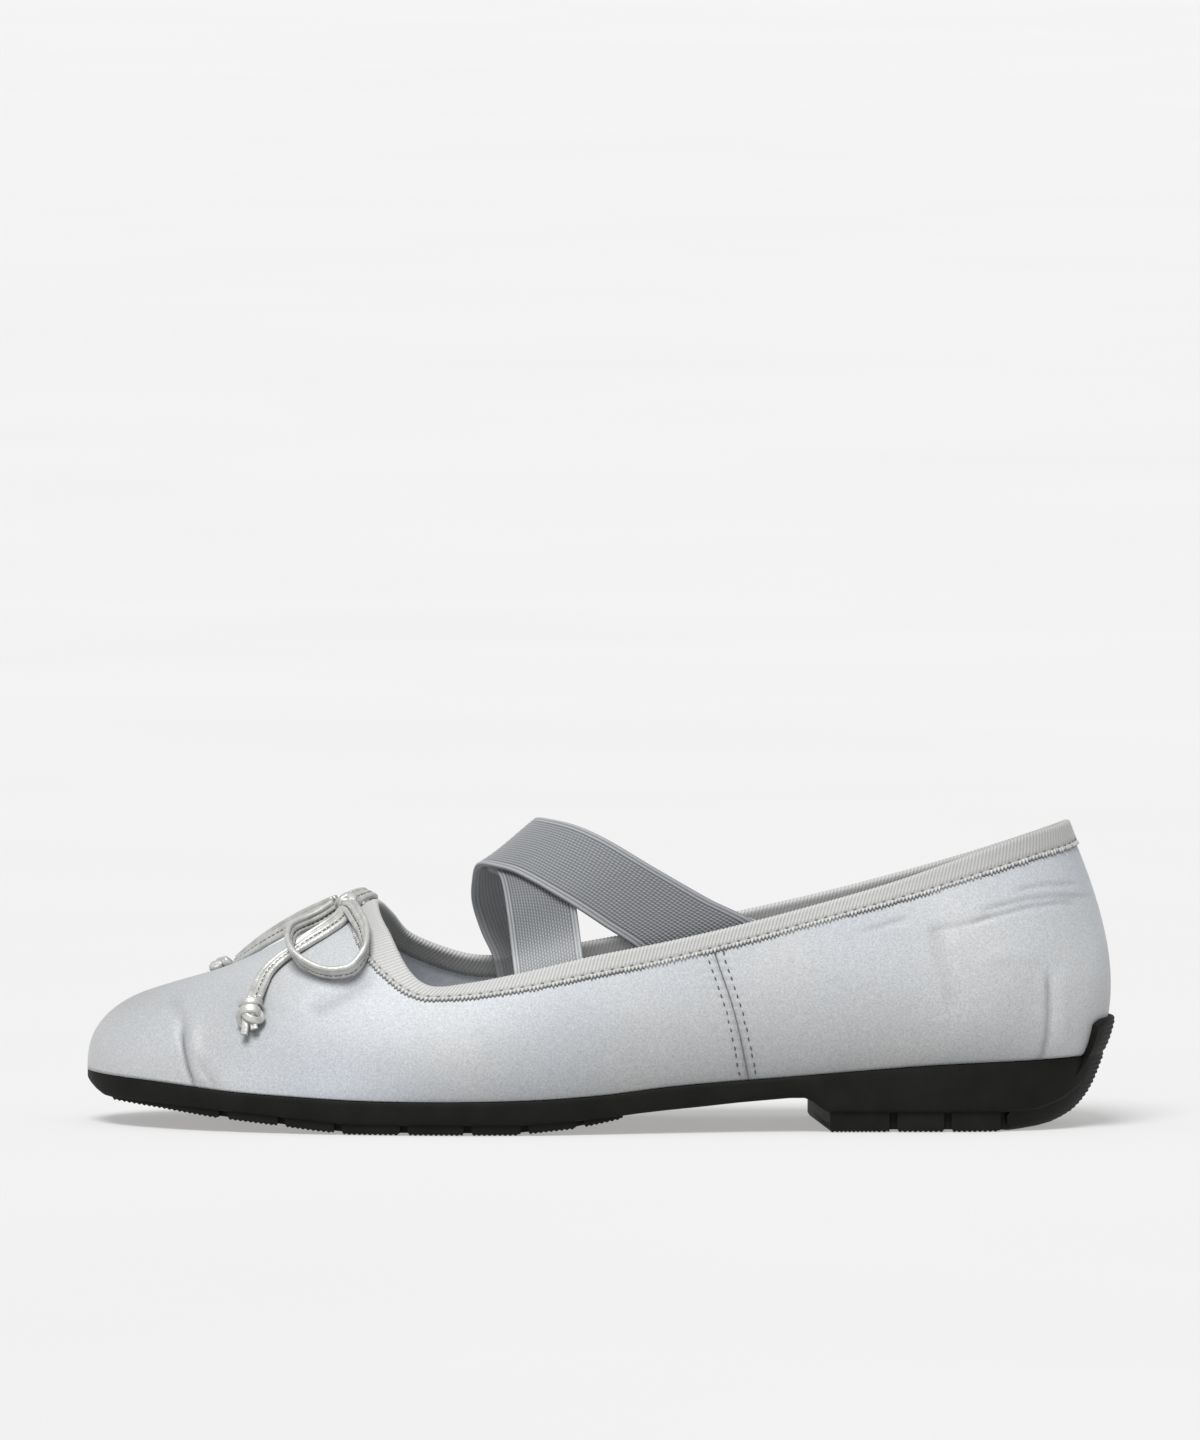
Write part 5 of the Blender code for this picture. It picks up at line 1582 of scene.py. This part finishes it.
def build_sole(rubber):
    """Rubber unit: body, ribbed lugs with their webs, and the band that ends as the heel tab."""
    tubes = [body_rings(), rear_rings()]
    tubes += [lug_rings(front, back) for front, back in LUGS + HEEL_LUGS]
    for group in (LUGS, HEEL_LUGS + [REAR_LUG]):
        tubes += [web_rings(ahead[1], behind[0]) for ahead, behind in zip(group[:-1], group[1:])]
    item = join_tubes("rubber_sole", [(rings, False) for rings in tubes], rubber)
    split = item.modifiers.new("edges", "EDGE_SPLIT")
    split.split_angle = math.radians(SPLIT_ANGLE)
    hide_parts("outsole")


def build_insole(sock):
    """Sock over its board, dished a little and reaching the lining all round."""
    along_side = np.linspace(SOCK_END, 1 - SOCK_END, SOCK_POINTS)
    edges = []
    for around in (along_side, 2 - along_side):
        low = at_depth(skin(around, np.linspace(0.0, SOCK_REACH, SOCK_ROWS)), SOCK_EDGE)
        out = np.column_stack([outward_at(around), np.zeros(len(around))])
        edges.append(low - out * (WALL + SOCK_INTO_LINING))
    across = np.linspace(-1.0, 1.0, SOCK_COLUMNS)[None, :, None]
    rings = edges[0][:, None] * (1 - across) / 2 + edges[1][:, None] * (1 + across) / 2
    flat = last("feather", rings[..., 0]) + INSOLE_THICK - SOCK_DISH * (1 - across[..., 0] ** 2)
    turned_up = np.abs(across[..., 0]) ** SOCK_TURN_POWER
    rings[..., 2] = flat * (1 - turned_up) + rings[..., 2] * turned_up
    under = rings[:, [-1, 0]].copy()
    under[..., 2] = last("feather", under[..., 0]) + SOCK_UNDER
    rings = np.concatenate([rings, under], axis=1)
    item = join_tubes("insole_sock", [(rings, False)], sock)
    set_uv(item, rings[..., :2].reshape(-1, 2))
    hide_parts("insole")


def build_stage():
    """Pale paper floor in metres that slopes up gently and turns into a backdrop."""
    front, flat_end, ramp_end, slope, bend, half_width = -4.5, 3.2, 12.0, 0.05, 2.0, 9.0
    ramp_top = (ramp_end - flat_end) * slope
    profile = [(front, 0.0), (flat_end, 0.0), (ramp_end, ramp_top)]
    for angle in quarter(BEND_POINTS)[1:]:
        profile.append((ramp_end + bend * math.sin(angle), ramp_top + bend * (1 - math.cos(angle))))
    points = [(x, y, z) for y, z in profile for x in (-half_width, half_width)]
    faces = [(2 * k, 2 * k + 1, 2 * k + 3, 2 * k + 2) for k in range(len(profile) - 1)]
    item = new_mesh("studio_floor", points, faces, [floor_material()])


def look_along(direction):
    """Turn that points a lamp's or camera's axis along a direction."""
    return Vector(direction).to_track_quat("-Z", "Y").to_euler()


def build_light():
    """Even studio: a pale surround and one broad soft light from above the camera."""
    world = bpy.data.worlds.new("studio_surround")
    world.use_nodes = True
    back = world.node_tree.nodes["Background"]
    back.inputs["Color"].default_value = SURROUND_COLOUR
    back.inputs["Strength"].default_value = SURROUND_STRENGTH
    bpy.context.scene.world = world
    data = bpy.data.lights.new("key", "SUN")
    data.energy = KEY_STRENGTH
    data.angle = math.radians(KEY_ANGLE)
    new_object("key", data).rotation_euler = look_along(KEY_DIRECTION)
    bpy.context.scene.view_settings.view_transform = "Standard"


def build_camera():
    """Camera of the photograph."""
    data = bpy.data.cameras.new("camera")
    way = np.array(CAMERA_AIM) - np.array(CAMERA_PLACE)
    data.sensor_width = CAMERA_SENSOR
    data.lens = CAMERA_SENSOR * float(np.linalg.norm(way)) / (IMAGE_HEIGHT * CAMERA_PIXEL)
    data.clip_start, data.clip_end = CAMERA_CLIP
    item = new_object("camera", data)
    item.location = CAMERA_PLACE
    item.rotation_euler = look_along(way)
    bpy.context.scene.camera = item


def corners(bounds):
    """Box as plain lists of numbers."""
    return [[float(v) for v in corner] for corner in bounds]


def main():
    """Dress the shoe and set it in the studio."""
    for item in list(bpy.data.objects):
        bpy.data.objects.remove(item, do_unlink=True)
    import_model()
    build_camera()
    leather = lace_material()
    lace_thread = thread_material("lace_thread", (0.035, 0.035, 0.035), (0.08, 0.08, 0.078))
    dark_thread = thread_material("seam_thread", (0.035, 0.037, 0.04), (0.09, 0.093, 0.097))
    tape_thread = thread_material("tape_thread", (0.09, 0.09, 0.088), (0.18, 0.18, 0.175))
    elastic = elastic_material()

    knot_lateral = build_end_knot("end_knot_lateral", END_LATERAL, "tail_knot_lateral", leather)
    knot_medial = build_end_knot("end_knot_medial", END_MEDIAL, "tail_knot_medial", leather)
    bow = build_bow_knot(leather)
    laces = [
        ("loop_lateral", LOOP_LATERAL, "object", [bow]),
        ("loop_medial", LOOP_MEDIAL, "object", []),
        ("tail_lateral", TAIL_LATERAL, "knot", [knot_lateral]),
        ("tail_medial", TAIL_MEDIAL, "knot", [knot_medial]),
    ]
    for name, rows, far_end, knots in laces:
        build_lace("lace_" + name, rows, "bow_" + name, leather, lace_thread)

    build_upper(satin_material(), lining_material())
    build_seam(dark_thread, tape_thread)
    build_binding(tape_material(), tape_thread)
    build_strap("elastic_over", STRAP_OVER, LIT_OVER, STRAP_LIFT, "strap_over", elastic)
    build_strap("elastic_under", STRAP_UNDER, LIT_UNDER, -STRAP_LIFT, "strap_under", elastic)
    build_sole(rubber_material())
    build_insole(sock_material())

    build_stage()
    build_light()


main()
